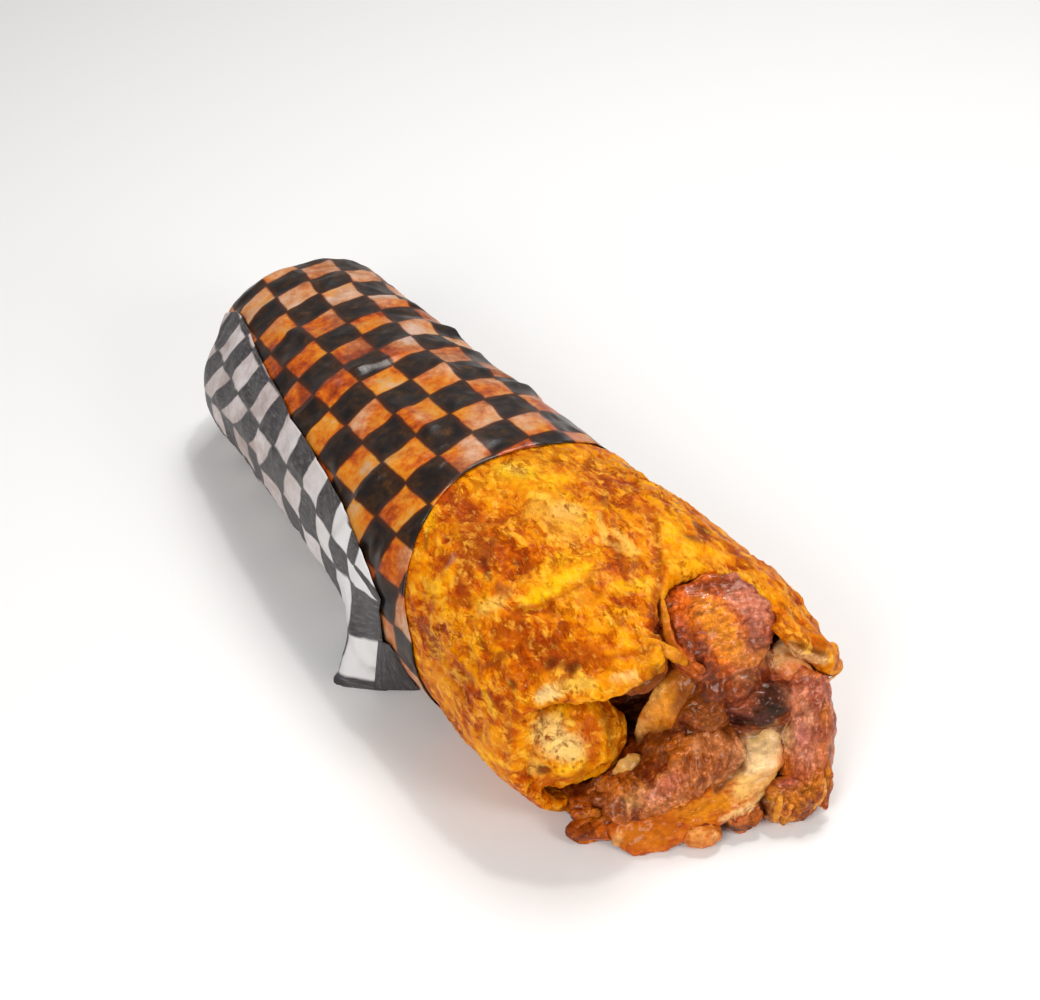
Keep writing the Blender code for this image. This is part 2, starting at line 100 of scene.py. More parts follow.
def ball(centre, size, segments, rings):
    """A ball stretched to its half sizes, with its centre at a place in millimetres."""
    bpy.ops.object.select_all(action="DESELECT")
    bpy.ops.mesh.primitive_uv_sphere_add(
        segments=segments, ring_count=rings, radius=MM, location=Vector(centre) * MM)
    piece = bpy.context.active_object
    piece.scale = size
    bpy.ops.object.transform_apply(location=True, rotation=False, scale=True)
    return piece


def sculpt(piece, height):
    """Move each point along its normal by height(place, normal) millimetres, and note that relief."""
    vertices = piece.data.vertices
    rises = [height(vert.co / MM, vert.normal) for vert in vertices]
    moves = [vert.normal * rise for vert, rise in zip(vertices, rises)]
    for vert, move in zip(vertices, moves):
        vert.co += move * MM
        vert.co.z = max(vert.co.z, 0.0)
    piece.data.attributes.new("relief", "FLOAT", "POINT").data.foreach_set("value", rises)
    piece.data.update()


def smooth_step(low, high, value):
    """0 at low, 1 at high and a soft rise between; low may be the larger."""
    t = min(max((value - low) / (high - low), 0.0), 1.0)
    return t * t * (3 - 2 * t)


# %% [markdown]
# ## Writing materials
# Every finish is a small network of nodes. One helper adds a node, sets its options and joins its
# inputs, so that each material reads as a list of steps. Sockets go by name, or by number where
# several share one: in a colour Mix node 0 is the share, 6 and 7 are the two colours and output 2
# is their blend, and in a Map Range node 1 and 2 are the range it reads, 3 and 4 the range it
# gives. Colours are picked as sRGB hex values, as an eyedropper gives them, and one function turns
# them into the linear light that shaders use.


# %% Helpers for finishes
def linear(code):
    """Linear colour of an sRGB hex value."""
    parts = [int(code[k:k + 2], 16) / 255 for k in (0, 2, 4)]
    return [p / 12.92 if p <= 0.04045 else ((p + 0.055) / 1.055) ** 2.4 for p in parts] + [1.0]


def add(tree, kind, inputs=None, out=0, stops=None, **settings):
    """Add a node with its settings and links, and give back one of its outputs."""
    node = tree.nodes.new("ShaderNode" + kind)
    for name, value in settings.items():
        setattr(node, name, value)
    for name, value in (inputs or {}).items():
        if isinstance(value, bpy.types.NodeSocket):
            tree.links.new(value, node.inputs[name])
        else:
            node.inputs[name].default_value = value
    if stops:
        ramp = node.color_ramp
        while len(ramp.elements) < len(stops):
            ramp.elements.new(1.0)
        for element, (place, code) in zip(ramp.elements, stops):
            element.position = place
            element.color = linear(code)
    return node.outputs[out] if len(node.outputs) else None


def new_material(name):
    """An empty material and its node tree."""
    material = bpy.data.materials.new(name)
    material.use_nodes = True
    material.node_tree.nodes.clear()
    return material, material.node_tree


# %% [markdown]
# ## The roll as a surface to draw on
# Paper and tortilla follow the same roll: a rounded, slightly squashed tube along Y. A place on it
# is given by how far it lies along the roll and by its turn round it in degrees: 0 is the right
# side, 90 the top, 180 the left and 270 underneath. These are the sizes of the CAD model, so what
# is drawn with them fits it exactly.

# %% The roll's shape
# Place along the roll, with its left side, right side and height there.
ROLL = [
    (-120, -32, 51, 50), (-95, -38, 53, 57), (-75, -40, 50, 60.5), (-45, -40.5, 45, 62),
    (-15, -40, 40, 62), (10, -39, 38, 61), (45, -37.5, 36, 58.5), (76, -35, 34.5, 55.5),
    (100, -29, 34, 53), (112, -24.5, 33, 50.5),
]
ROUNDNESS = 2.3        # 2 would be an ellipse, more is squarer
SINK = 3.0             # depth cut flat from the underside
END_START = 107.0      # where the closed end begins
END_ROUND = 9.0        # radius of its rim
BARE = (-38, -56)      # the swellings fade in between these places
# Swellings of the bread: place and turn of the middle, reach along and round, height.
SWELLINGS = [
    (-58, 92, 14, 26, 1.5), (-62, 140, 12, 18, 1.2), (-84, 125, 9, 22, 1.6), (-78, 60, 16, 16, 1.3),
    (-76, 104, 5, 24, -1.6), (-90, 84, 14, 5, -1.5), (-94, 150, 12, 14, 1.0), (-100, 35, 12, 16, 1.6),
    (-70, 170, 10, 10, -1.0), (-60, 20, 14, 14, 1.0), (-88, 190, 14, 12, 0.9), (-97, 108, 6, 20, 1.4),
]


def through(points, place):
    """Smooth value at a place on the curve through sorted (place, value) pairs."""
    places = [point[0] for point in points]
    values = [point[1] for point in points]
    if place <= places[0]:
        return values[0]
    if place >= places[-1]:
        return values[-1]
    i = bisect_right(places, place) - 1

    def slope(k):
        before = max(k - 1, 0)
        after = min(k + 1, len(points) - 1)
        return (values[after] - values[before]) / (places[after] - places[before])

    span = places[i + 1] - places[i]
    t = (place - places[i]) / span
    rise = (2 * t ** 3 - 3 * t ** 2 + 1) * values[i] + (3 * t ** 2 - 2 * t ** 3) * values[i + 1]
    return rise + span * ((t ** 3 - 2 * t ** 2 + t) * slope(i) + (t ** 3 - t ** 2) * slope(i + 1))


def bumps(table, y, turn):
    """Sum of the soft round bumps of a table at a place on the roll."""
    total = 0.0
    for centre_y, centre_turn, reach_y, reach_turn, height in table:
        along = (y - centre_y) / reach_y
        around = ((turn - centre_turn + 180) % 360 - 180) / reach_turn
        total += height * math.exp(-(along ** 2 + around ** 2))
    return total


SIDES = [[(row[0], row[k]) for row in ROLL] for k in (1, 2, 3)]
FIRST_STATION = -130
LAST_STATION = 110
STATIONS = [[through(side, y) for side in SIDES] for y in range(FIRST_STATION, LAST_STATION + 1)]
print("roll known at", len(STATIONS), "places, one millimetre apart")


def outline(y):
    """Left side, right side and height of the roll at a place along it."""
    place = min(max(y - FIRST_STATION, 0.0), len(STATIONS) - 1.001)
    k = int(place)
    return [a + (b - a) * (place - k) for a, b in zip(STATIONS[k], STATIONS[k + 1])]


def roll_point(travel, turn, lift=0.0):
    """Point on the roll's skin. Travel runs along Y and, past the end, over the closed end."""
    y = min(travel, END_START)
    left, right, height = outline(y)
    centre = (left + right) / 2
    half = (right - left) / 2 + lift
    middle = (height - SINK) / 2
    c = math.cos(math.radians(turn))
    s = math.sin(math.radians(turn))
    x = centre + half * math.copysign(abs(c) ** (2 / ROUNDNESS), c)
    z = middle + ((height + SINK) / 2 + lift) * math.copysign(abs(s) ** (2 / ROUNDNESS), s)
    z = max(z, 0.0)
    past = max(travel - END_START, 0.0)
    if past:
        bend = min(past / END_ROUND, math.pi / 2)
        inset = (END_ROUND + lift) * (1 - math.cos(bend))
        inset += max(past - END_ROUND * math.pi / 2, 0.0)
        keep = max(1 - inset / half, 0.0)
        x = centre + (x - centre) * keep
        z = middle + (z - middle) * keep
        y = END_START + (END_ROUND + lift) * math.sin(bend)
    return Vector((x, y, z))


def swell(y, turn):
    """How far the bare tortilla, and what clings to it, stands out from the plain roll."""
    bare = smooth_step(*BARE, y)
    return bare * bumps(SWELLINGS, y, turn) if bare else 0.0


# %% [markdown]
# ## The wrapping paper
# Deli paper is a thin greaseproof sheet, wound once and a quarter round the roll and gathered shut
# at the far end. Its last quarter turn is a loose flap whose corner bends out on to the table. A
# flat grid is the natural start: it already has rows and columns like the sheet itself, so it can
# be wound up point by point, and a thin wall from Solidify makes it a real sheet.

# %% Paper sizes
PAPER = 0.16                  # wall of the sheet
LAYER = 0.9                   # how far its outer face lies off the roll
SECOND_LAYER = 1.85           # and where the sheet laps over itself
LAP = (-96, -128)             # turns between which it climbs on to the second layer
EDGE_CLING = 0.45             # the greasy front edge lies this much closer
EDGE_CLING_REACH = 14         # and comes away over this length
CRUMPLED = 0.45               # behind the front edge the crinkles are this much stronger
PUCKER_HOLE = 0.8             # radius of the hole at the gathered end
PUCKER_DEPTH = 4.0            # how deep the gathers are tucked in
PUCKER_SPAN = (0.55, 1.0)     # over this share of the way in to the hole
PLEATS = 13
PLEAT_HEIGHT = 1.5
PLEAT_SPAN = (0.15, 0.5)      # the pleats grow over this share of the way in
PLEAT_DRIFT = 16              # and wander by up to these degrees
SHEET_START = 225             # turn of the hidden edge
SHEET_END = -191              # turn of the free edge, at the front
# Turn and place along the roll of the front edge.
FRONT_EDGE = [
    (-191, -39), (-170, -37.5), (-135, -35), (-100, -26), (-60, -20), (0, -21), (30, -27),
    (54, -30), (74, -31), (88, -30), (100, -30.5), (114, -33), (131, -38.5), (147, -44),
    (159, -48), (175, -55), (225, -60),
]
# Place along the roll and turn of the flap's free edge.
FLAP_EDGE = [
    (-40, 169), (-33, 164), (-10, 151), (8, 146.5), (31, 141), (69, 133.5), (95, 131),
    (107, 138), (120, 160),
]
FLAP_FLARE = 6.2              # how far the loose flap stands off
FLARE_TURNS = ((-110, -150), (-208, -178))    # where the flare rises and ends round the roll
FLARE_ALONG = ((68, 106), (113, 106))         # and along it
# Place along the roll and how far the bent corner reaches out over the table there.
TAIL = [(-38, 6), (-30, 17), (-20.5, 24), (-10, 6), (0, 0)]
TAIL_FOOT = (-92, -118, -128)    # turns at which it leaves the roll, lies on the table and rises
TAIL_TOP = -183                  # turn of its upper end
TAIL_HEEL = 14                   # turns over which it leaves the table
TAIL_GROUNDED = 9                # it rests on the table where it reaches out this far
# Creases: place and turn of the middle, reach along and round, height.
CREASES = [
    (33, 112, 1.8, 26, 1.5), (31, 140, 7, 5, 1.5), (-12, 128, 2.4, 10, 1.1), (70, 60, 2.4, 22, 1.2),
    (8, 35, 2.4, 20, 1.1), (92, 100, 2.4, 30, 0.9), (48, 170, 2.4, 18, 0.9), (-5, 100, 10, 3, 0.9),
    (64, 110, 9, 4, 0.9), (20, 76, 11, 3.5, 0.8), (52, 40, 2.0, 16, 1.2), (38, 30, 8, 4, -1.0),
    (80, 30, 7, 6, -1.2), (14, 158, 12, 3, 0.8), (60, 206, 14, 4, 0.8), (20, 208, 10, 5, -0.8),
]
SHEET_COLUMNS = 270    # grid squares round the roll, about 1.2 mm each
SHEET_ROWS = 104       # squares along it
END_ROWS = 36          # squares over the gathered end


# %% Winding the sheet
def end_travel(hole):
    """Travel at which the closed end has shrunk to a hole of the given radius."""
    half = (through(SIDES[1], END_START) - through(SIDES[0], END_START)) / 2
    return END_START + END_ROUND * math.pi / 2 + half - END_ROUND - hole


LAST = end_travel(PUCKER_HOLE)


# Crinkles: how closely they lie, where their noise is read, and their depth.
CRINKLES = [(0.055, (7, 1, 3), 0.55), (0.13, (2, 9, 4), 0.26)]
MIDDLE_FOLD = 0.6


def crinkle(point):
    """Small sharp folds of handled paper, in millimetres."""
    folds = 0.0
    for scale, seed, depth in CRINKLES:
        folds += depth * (1 - 2 * abs(noise.noise(point * scale + Vector(seed))) - MIDDLE_FOLD)
    return folds


def paper_point(travel, turn, front):
    """Point on the sheet's outer face, with its folds, its flared flap and its bent corner."""
    over = smooth_step(*LAP, turn)
    cling = EDGE_CLING * (1 - smooth_step(0, EDGE_CLING_REACH, travel - front)) * (1 - over)
    lift = LAYER - cling + (SECOND_LAYER - LAYER) * over
    lift += bumps(CREASES, travel, turn) + swell(travel, turn)
    flare = FLAP_FLARE
    for span, place in zip(FLARE_TURNS + FLARE_ALONG, (turn, turn, travel, travel)):
        flare *= smooth_step(*span, place)
    point = roll_point(travel, turn, lift + flare)
    handled = (1 + CRUMPLED * smooth_step(6, 24, travel - front)) * smooth_step(0, 6, point.z)
    point = roll_point(travel, turn, lift + flare + crinkle(point) * handled)
    past = max(travel - END_START, 0.0) / (LAST - END_START)
    round_end = Vector((math.cos(math.radians(turn)), math.sin(math.radians(turn)), 0))
    fold = math.radians(turn + PLEAT_DRIFT * noise.noise(round_end * 1.5)) * PLEATS
    pleat = PLEAT_HEIGHT * (1 - 2 * abs(math.sin(fold / 2))) * math.sin(math.pi * past)
    point.y += pleat * smooth_step(*PLEAT_SPAN, past)
    point.y -= PUCKER_DEPTH * smooth_step(*PUCKER_SPAN, past)
    start, full, lean = TAIL_FOOT
    reach = through(TAIL, travel)
    if turn > full:
        out = smooth_step(start, full, turn)
        foot = out
    else:
        out = min(max((turn - TAIL_TOP) / (lean - TAIL_TOP), 0.0), 1.0) ** 2
        foot = smooth_step(lean - TAIL_HEEL, lean, turn)
    point.x -= reach * out
    point.z *= 1 - foot * min(reach / TAIL_GROUNDED, 1.0)
    return point


# %% [markdown]
# ### The printed check
# The print is a plain check of about 12 mm squares that belongs to the sheet, not to the space
# round it, so it needs a UV map. U counts squares round the roll and V counts them along it. The
# sheet isn't wound quite square, and it was pulled and crumpled, so the rows are spaced and
# slanted a little, as a hand-rolled sheet's are.

# %% Where the squares fall
CHECK = 12.2           # side of a printed square
# Place along the roll at which each row of squares begins, on the body and on the flap.
ROWS = [
    (-64, -5), (-52, -4), (-40, -3), (-28.5, -2), (-17, -1), (-5, 0), (7.5, 1), (19, 2), (29.5, 3),
    (40.5, 4), (51, 5), (61, 6), (73, 7), (84.5, 8), (95, 9), (107, 10), (119, 11), (131, 12),
    (143, 13), (155, 14),
]
ROW_SLANT = 2.3        # each square further left starts this much nearer the mouth
FLAP_ROWS = [
    (-41, -3), (-22.5, -2), (-17.5, -1), (-6.5, 0), (4, 1), (15, 2), (25.5, 3), (36.5, 4), (47, 5),
    (57, 6), (66.5, 7), (77, 8), (86, 9), (96, 10), (107, 11), (119, 12), (131, 13), (143, 14),
]
# Place along the roll and turn of the line from which the flap's columns are counted.
FLAP_COLUMN = [
    (-41, -211), (-23, -204), (-16, -210), (4, -216), (36, -221), (66, -224.5), (86, -226),
]
FLAP_SHEAR = 0.45      # rows bend back by this much, one column in
BODY_PRINT = -20       # up to this turn the print follows the body's rows
FLAP_PRINT = -100      # and from this one on the flap's
# Turn at which each square of the bent corner begins, at two places along the roll.
TAIL_SQUARES = {
    -20: [(-206, 0), (-192, 1), (-182, 2), (-157, 3), (-134, 4), (-118, 5), (-104, 6)],
    -39: [(-211, 0), (-194, 1), (-190, 2), (-175, 3), (-137, 4), (-118, 5), (-104, 6)],
}
TAIL_ROWS = [(-39, -2), (-19.5, -1), (-7, 0)]
TOP = 90               # turn from which the columns are counted
MIDDLE = 20            # place along the roll where its girth is measured
MIDDLE_WIDTH = outline(MIDDLE)[1] - outline(MIDDLE)[0]
FIRST_ARC = -236
ARC = [0.0]            # length round the roll up to each whole degree
for angle in range(FIRST_ARC + 1, 1 - FIRST_ARC):
    ARC.append(ARC[-1] + (roll_point(MIDDLE, angle, LAYER) - roll_point(MIDDLE, angle - 1, LAYER)).length)


def arc(turn):
    """Length round the roll's middle section up to a turn."""
    place = min(max(turn - FIRST_ARC, 0.0), len(ARC) - 1.001)
    k = int(place)
    return ARC[k] + (ARC[k + 1] - ARC[k]) * (place - k)


def straight(points, place):
    """Value at a place on the straight stretches between sorted (place, value) pairs."""
    return float(np.interp(place, [point[0] for point in points], [point[1] for point in points]))


def squares(travel, turn):
    """The print's own coordinates, in squares, at a place on the roll."""
    left, right, height = outline(min(travel, END_START))
    girth = (right - left) / MIDDLE_WIDTH / CHECK
    u = (arc(turn) - arc(TOP)) * girth
    v = through(ROWS, travel + ROW_SLANT * min(max(u, -4), 2))
    if turn < BODY_PRINT:
        below = (arc(turn) - arc(through(FLAP_COLUMN, travel))) * girth
        shear = FLAP_SHEAR * smooth_step(0, 85, travel) * min(max(below, 0), 2) ** 2
        row = through(FLAP_ROWS, travel) - shear
        bent = smooth_step(0, -18, travel)
        if bent:
            near, far = TAIL_SQUARES
            share = min(max((near - travel) / (near - far), 0.0), 1.0)
            at_near, at_far = (straight(TAIL_SQUARES[place], turn) for place in (near, far))
            square = at_near + (at_far - at_near) * share
            below += (square - below) * bent
            row += (straight(TAIL_ROWS, travel) - row) * bent * min(max(square - 1, 0.0), 1.0)
        over = smooth_step(BODY_PRINT, FLAP_PRINT, turn)
        u += (below + FLAP_OFFSET - u) * over
        v += (row - v) * over
    return u, v


# The two prints are joined by a whole, odd number of squares, so black still follows white.
LAP_TURN = -110
gap = (arc(LAP_TURN) - arc(TOP)) / CHECK - (arc(LAP_TURN) - arc(through(FLAP_COLUMN, MIDDLE))) / CHECK
FLAP_OFFSET = 2 * round((gap - 1) / 2) + 1
print("squares between the print on the body and on the flap", round(gap, 2), "taken as", FLAP_OFFSET)

# %% [markdown]
# ### Winding up the grid
# Each point of the flat grid is sent to its place on the roll and gets three things there: its
# place in the print, how far fat has soaked through it, and whether it belongs to the bent corner,
# whose white is painted brighter than the rest of the dry paper, as painted light.

# %% Make the sheet from a grid
def soaked_through(travel, turn, point):
    """How far fat has soaked through the paper, from 0 to 1: most on top, in ragged patches."""
    top = (0.30 + 0.62 * smooth_step(48, 112, turn)) * smooth_step(0, 40, turn)
    top *= 1 - 0.40 * smooth_step(50, 92, travel)
    top *= 1 - 0.8 * smooth_step(152, 172, turn)
    right = 0.5 * smooth_step(-130, -60, turn) * (1 - smooth_step(80, 130, travel))
    patches = noise.noise(point * 0.075 + Vector((3, 3, 8))) + 0.5 * noise.noise(point * 0.16)
    return min(max(max(top, right) * (0.95 + 0.62 * patches), 0.0), 1.0)


bpy.ops.object.select_all(action="DESELECT")
rows_in_all = SHEET_ROWS + END_ROWS
bpy.ops.mesh.primitive_grid_add(x_subdivisions=SHEET_COLUMNS, y_subdivisions=rows_in_all, size=1)
sheet = bpy.context.active_object
sheet.name = "deli_sheet"
mesh = sheet.data
grid_uv = mesh.uv_layers.active
grid_uv.name = "print"
grease = mesh.attributes.new("grease", "FLOAT", "POINT")
lit_corner_white = mesh.attributes.new("lit_corner_white", "FLOAT", "POINT")
print_of = [None] * len(mesh.vertices)
for vert in mesh.vertices:
    share = 1 - (vert.co.x + 0.5)
    row = (vert.co.y + 0.5) * rows_in_all
    front_turn = SHEET_START + (SHEET_END - SHEET_START) * share
    front = through(FRONT_EDGE, front_turn)
    if row <= SHEET_ROWS:
        travel = front + (END_START - front) * row / SHEET_ROWS
    else:
        travel = END_START + (LAST - END_START) * (row - SHEET_ROWS) / END_ROWS
    free_turn = through(FLAP_EDGE, travel) - 360
    turn = SHEET_START + (free_turn - SHEET_START) * share
    point = paper_point(travel, turn, front)
    vert.co = point * MM
    print_of[vert.index] = squares(travel, turn)
    grease.data[vert.index].value = soaked_through(travel, turn, point)
    # The bent corner's share: there the white is painted brighter, as painted light.
    lit_corner_white.data[vert.index].value = smooth_step(40, -20, travel) * smooth_step(-100, -120, turn)
for corner in mesh.loops:
    grid_uv.data[corner.index].uv = print_of[corner.vertex_index]
only(sheet)
bpy.ops.object.mode_set(mode="EDIT")
bpy.ops.mesh.select_all(action="SELECT")
bpy.ops.mesh.normals_make_consistent(inside=False)
bpy.ops.object.mode_set(mode="OBJECT")
# The faces look out of the roll if, on the whole, they look away from its middle line.
AXIS_HEIGHT = 28 * MM
facing = 0.0
for face in mesh.polygons:
    facing += (face.center - Vector((0, face.center.y, AXIS_HEIGHT))).dot(face.normal)
if facing < 0:
    mesh.flip_normals()
modify(sheet, "SOLIDIFY", thickness=PAPER * MM, offset=-1.0)
bpy.ops.object.shade_smooth()
print("sheet wound from", len(print_of), "points of the grid")

# %% [markdown]
# ### The turned corner's last fold
# Where the bent corner meets the table it is folded back towards the mouth, and a black triangle of
# it shows beside the white square. A small grid is laid between its four corners and takes its
# place in the print from the middle of a black square.

# %% Folded triangle
FOLD = [Vector(corner) for corner in (
    (-42.6, -37.0, 23), (-43.6, -31.5, 1.2), (-41.4, -41.5, 24), (-33.0, -38.0, 0.5))]
FOLD_BULGE = 1.2                   # how far its middle stands out
FOLD_OUTWARDS = Vector((-0.7, -0.7, 0))
FOLD_PRINT = (1.12, 0.08)          # where in the print its first corner lies, in squares
FOLD_PRINT_SIZE = (0.76, 0.82)     # and how much of a square it covers
bpy.ops.object.select_all(action="DESELECT")
bpy.ops.mesh.primitive_grid_add(x_subdivisions=16, y_subdivisions=22, size=1)
fold = bpy.context.active_object
fold.name = "sheet_fold"
fold.data.uv_layers.active.name = "print"
fold.data.attributes.new("grease", "FLOAT", "POINT")
for vert in fold.data.vertices:
    across = vert.co.x + 0.5
    down = vert.co.y + 0.5
    left = FOLD[0].lerp(FOLD[1], down)
    right = FOLD[2].lerp(FOLD[3], down)
    bulge = math.sin(math.pi * across) * FOLD_BULGE * math.sin(math.pi * min(down, 0.95))
    vert.co = (left.lerp(right, across) + FOLD_OUTWARDS * bulge) * MM
for corner in fold.data.uv_layers.active.data:
    corner.uv = [FOLD_PRINT[k] + FOLD_PRINT_SIZE[k] * corner.uv[k] for k in (0, 1)]
modify(fold, "SOLIDIFY", thickness=PAPER * MM, offset=-1.0)
bpy.ops.object.shade_smooth()
merge([fold], sheet)
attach(sheet, "root")
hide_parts("wrapping_paper")
print("sheet", len(sheet.data.polygons), "faces")

# %% [markdown]
# ### Greaseproof paper as a finish
# Deli paper is bleached tissue with a thin coat of wax. Dry, it is a pinkish white, and its black
# ink is a soft charcoal. Where hot fat has soaked through it clings to the tortilla and turns
# see-through, so the white squares take the orange of the food and the ink goes deep brown-black.
# Two sine waves cross zero on the lines of the check. The sign of their product tells the two sets
# of squares apart, and the smaller of them grows with the distance from the nearest line, so their
# product makes straight edges whose softness can be set. The ink has crept a little over them.

# %% Greaseproof paper: the check
deli_paper, tree = new_material("greaseproof_paper_checkered")
uv = add(tree, "UVMap", uv_map="print")
place = add(tree, "TexCoord", out="Object")
wobble = add(tree, "TexNoise", {"Vector": place, "Scale": 160.0, "Detail": 2.0}, out="Color")
wobble = add(tree, "VectorMath", {0: wobble, 1: (0.5, 0.5, 0.5)}, operation="SUBTRACT")
wobble = add(tree, "VectorMath", {0: wobble, "Scale": 0.09}, operation="SCALE")
print_place = add(tree, "VectorMath", {0: uv, 1: wobble}, operation="ADD")
split = add(tree, "VectorMath", {0: print_place, "Scale": math.pi}, operation="SCALE")
split = add(tree, "VectorMath", {0: split}, operation="SINE")
u_wave = add(tree, "SeparateXYZ", {0: split}, out="X")
v_wave = add(tree, "SeparateXYZ", {0: split}, out="Y")
squares_wave = add(tree, "Math", {0: u_wave, 1: v_wave}, operation="MULTIPLY")
kind_of_square = add(tree, "Math", {0: squares_wave}, operation="SIGN")
from_u_line = add(tree, "Math", {0: u_wave}, operation="ABSOLUTE")
from_v_line = add(tree, "Math", {0: v_wave}, operation="ABSOLUTE")
from_line = add(tree, "Math", {0: from_u_line, 1: from_v_line}, operation="MINIMUM")
inside = add(tree, "Math", {0: from_line, 1: kind_of_square}, operation="MULTIPLY")
blank = add(tree, "MapRange", {0: inside, 1: 0.02, 2: 0.26}, interpolation_type="SMOOTHSTEP")
edge = add(tree, "MapRange", {0: inside, 1: -0.42, 2: 0.05}, interpolation_type="SMOOTHSTEP")
print("check drawn with", len(tree.nodes), "nodes")

# %% [markdown]
# Fat turns a white square brownish as it brushes it and orange as it soaks through. Each state has
# a ramp of its own, read through the same broad patches and fine flecks, and the soaking that was
# noted on the sheet leads from one to the next.

# %% Greaseproof paper: the white squares
soaked = add(tree, "Attribute", out="Fac", attribute_name="grease")
broad = add(tree, "TexNoise", {"Vector": place, "Scale": 58.0, "Detail": 2.0, "Roughness": 0.5})
fleck = add(tree, "TexNoise", {"Vector": place, "Scale": 330.0, "Detail": 4.0, "Roughness": 0.7})
mottle = add(tree, "Math", {0: fleck, 1: 0.42}, operation="MULTIPLY")
mottle = add(tree, "Math", {0: broad, 1: 0.58, 2: mottle}, operation="MULTIPLY_ADD")
fatty = add(tree, "ValToRGB", {"Fac": mottle}, stops=[
    (0.36, "702604"), (0.43, "A03E06"), (0.49, "BE5A08"), (0.545, "CC7610"), (0.60, "CC8830"),
    (0.68, "C49870")])
dry = add(tree, "ValToRGB", {"Fac": mottle}, stops=[
    (0.38, "A8948C"), (0.52, "C4B6B2"), (0.66, "D8D0CE")])
brushed = add(tree, "ValToRGB", {"Fac": mottle}, stops=[
    (0.38, "98582A"), (0.47, "B4774A"), (0.54, "C29678"), (0.64, "CCB0A2")])
# Painted light: the bent corner's white is brighter than the dry paper's.
lit_corner = add(tree, "Attribute", out="Fac", attribute_name="lit_corner_white")
dry = add(tree, "Mix", {0: lit_corner, 6: dry, 7: linear("DEDAD8")}, out=2, data_type="RGBA")
half_soaked = add(tree, "MapRange", {0: soaked, 1: 0.02, 2: 0.30})
whole_soaked = add(tree, "MapRange", {0: soaked, 1: 0.30, 2: 0.66})
pale = add(tree, "Mix", {0: half_soaked, 6: dry, 7: brushed}, out=2, data_type="RGBA")
pale = add(tree, "Mix", {0: whole_soaked, 6: pale, 7: fatty}, out=2, data_type="RGBA")
print("white squares have four tones: untouched, dry, brushed and soaked")

# %% [markdown]
# The ink is scuffed to grey where the sheet was handled dry. Where it is wet it is brown-black, and
# a lighter brown line shows where it thins out along the squares' edges.

# %% Greaseproof paper: the ink
ink_tint = add(tree, "TexNoise", {"Vector": place, "Scale": 210.0, "Detail": 4.0, "Roughness": 0.65})
scuffs = add(tree, "Mapping", {"Vector": uv, "Scale": (9.0, 2.2, 1.0)})
scuffs = add(tree, "TexNoise", {"Vector": scuffs, "Scale": 1.6, "Detail": 5.0, "Roughness": 0.7})
dry_ink = add(tree, "ValToRGB", {"Fac": scuffs}, stops=[
    (0.36, "322E30"), (0.55, "4A4546"), (0.72, "767170")])
wet_ink = add(tree, "ValToRGB", {"Fac": ink_tint}, stops=[
    (0.34, "120D0E"), (0.48, "20150F"), (0.60, "34200E"), (0.70, "50300F")])
wet_ink = add(tree, "Mix", {0: edge, 6: wet_ink, 7: linear("3E1C08")}, out=2, data_type="RGBA")
ink = add(tree, "Mix", {0: half_soaked, 6: dry_ink, 7: wet_ink}, out=2, data_type="RGBA")
colour = add(tree, "Mix", {0: blank, 6: ink, 7: pale}, out=2, data_type="RGBA")
print("print and paper:", len(tree.nodes), "nodes")

# %% [markdown]
# The folds of a centimetre are in the mesh. Bump adds what is finer than its grid: flat facets
# between small creases, crumples of a few millimetres and the felt of the fibres. Soaked paper
# shines more than dry paper.

# %% Greaseproof paper: its surface
fibres = add(tree, "TexNoise", {"Vector": place, "Scale": 900.0, "Detail": 4.0})
rough = add(tree, "MapRange", {0: whole_soaked, 3: 0.5, 4: 0.28})
wobbled = add(tree, "TexNoise", {"Vector": place, "Scale": 30.0, "Detail": 3.0}, out="Color")
wobbled = add(tree, "VectorMath", {0: wobbled, "Scale": 0.03}, operation="SCALE")
wobbled = add(tree, "VectorMath", {0: place, 1: wobbled}, operation="ADD")
crumple = add(tree, "TexNoise", {
    "Vector": place, "Scale": 62.0, "Detail": 3.0, "Distortion": 0.8}, noise_type="RIDGED_MULTIFRACTAL")
facets = add(tree, "TexVoronoi", {"Vector": wobbled, "Scale": 48.0})
bump = add(tree, "Bump", {"Height": facets, "Strength": 0.45, "Distance": 0.004})
bump = add(tree, "Bump", {"Height": crumple, "Strength": 0.7, "Distance": 0.003, "Normal": bump})
bump = add(tree, "Bump", {"Height": fibres, "Strength": 0.1, "Distance": 0.0004, "Normal": bump})
surface = add(tree, "BsdfPrincipled", {
    "Base Color": colour, "Roughness": rough, "Normal": bump, "IOR": 1.45,
    "Specular IOR Level": 0.4})
add(tree, "OutputMaterial", {"Surface": surface})
sheet.data.materials.clear()
sheet.data.materials.append(deli_paper)
print("paper finish:", len(tree.nodes), "nodes")
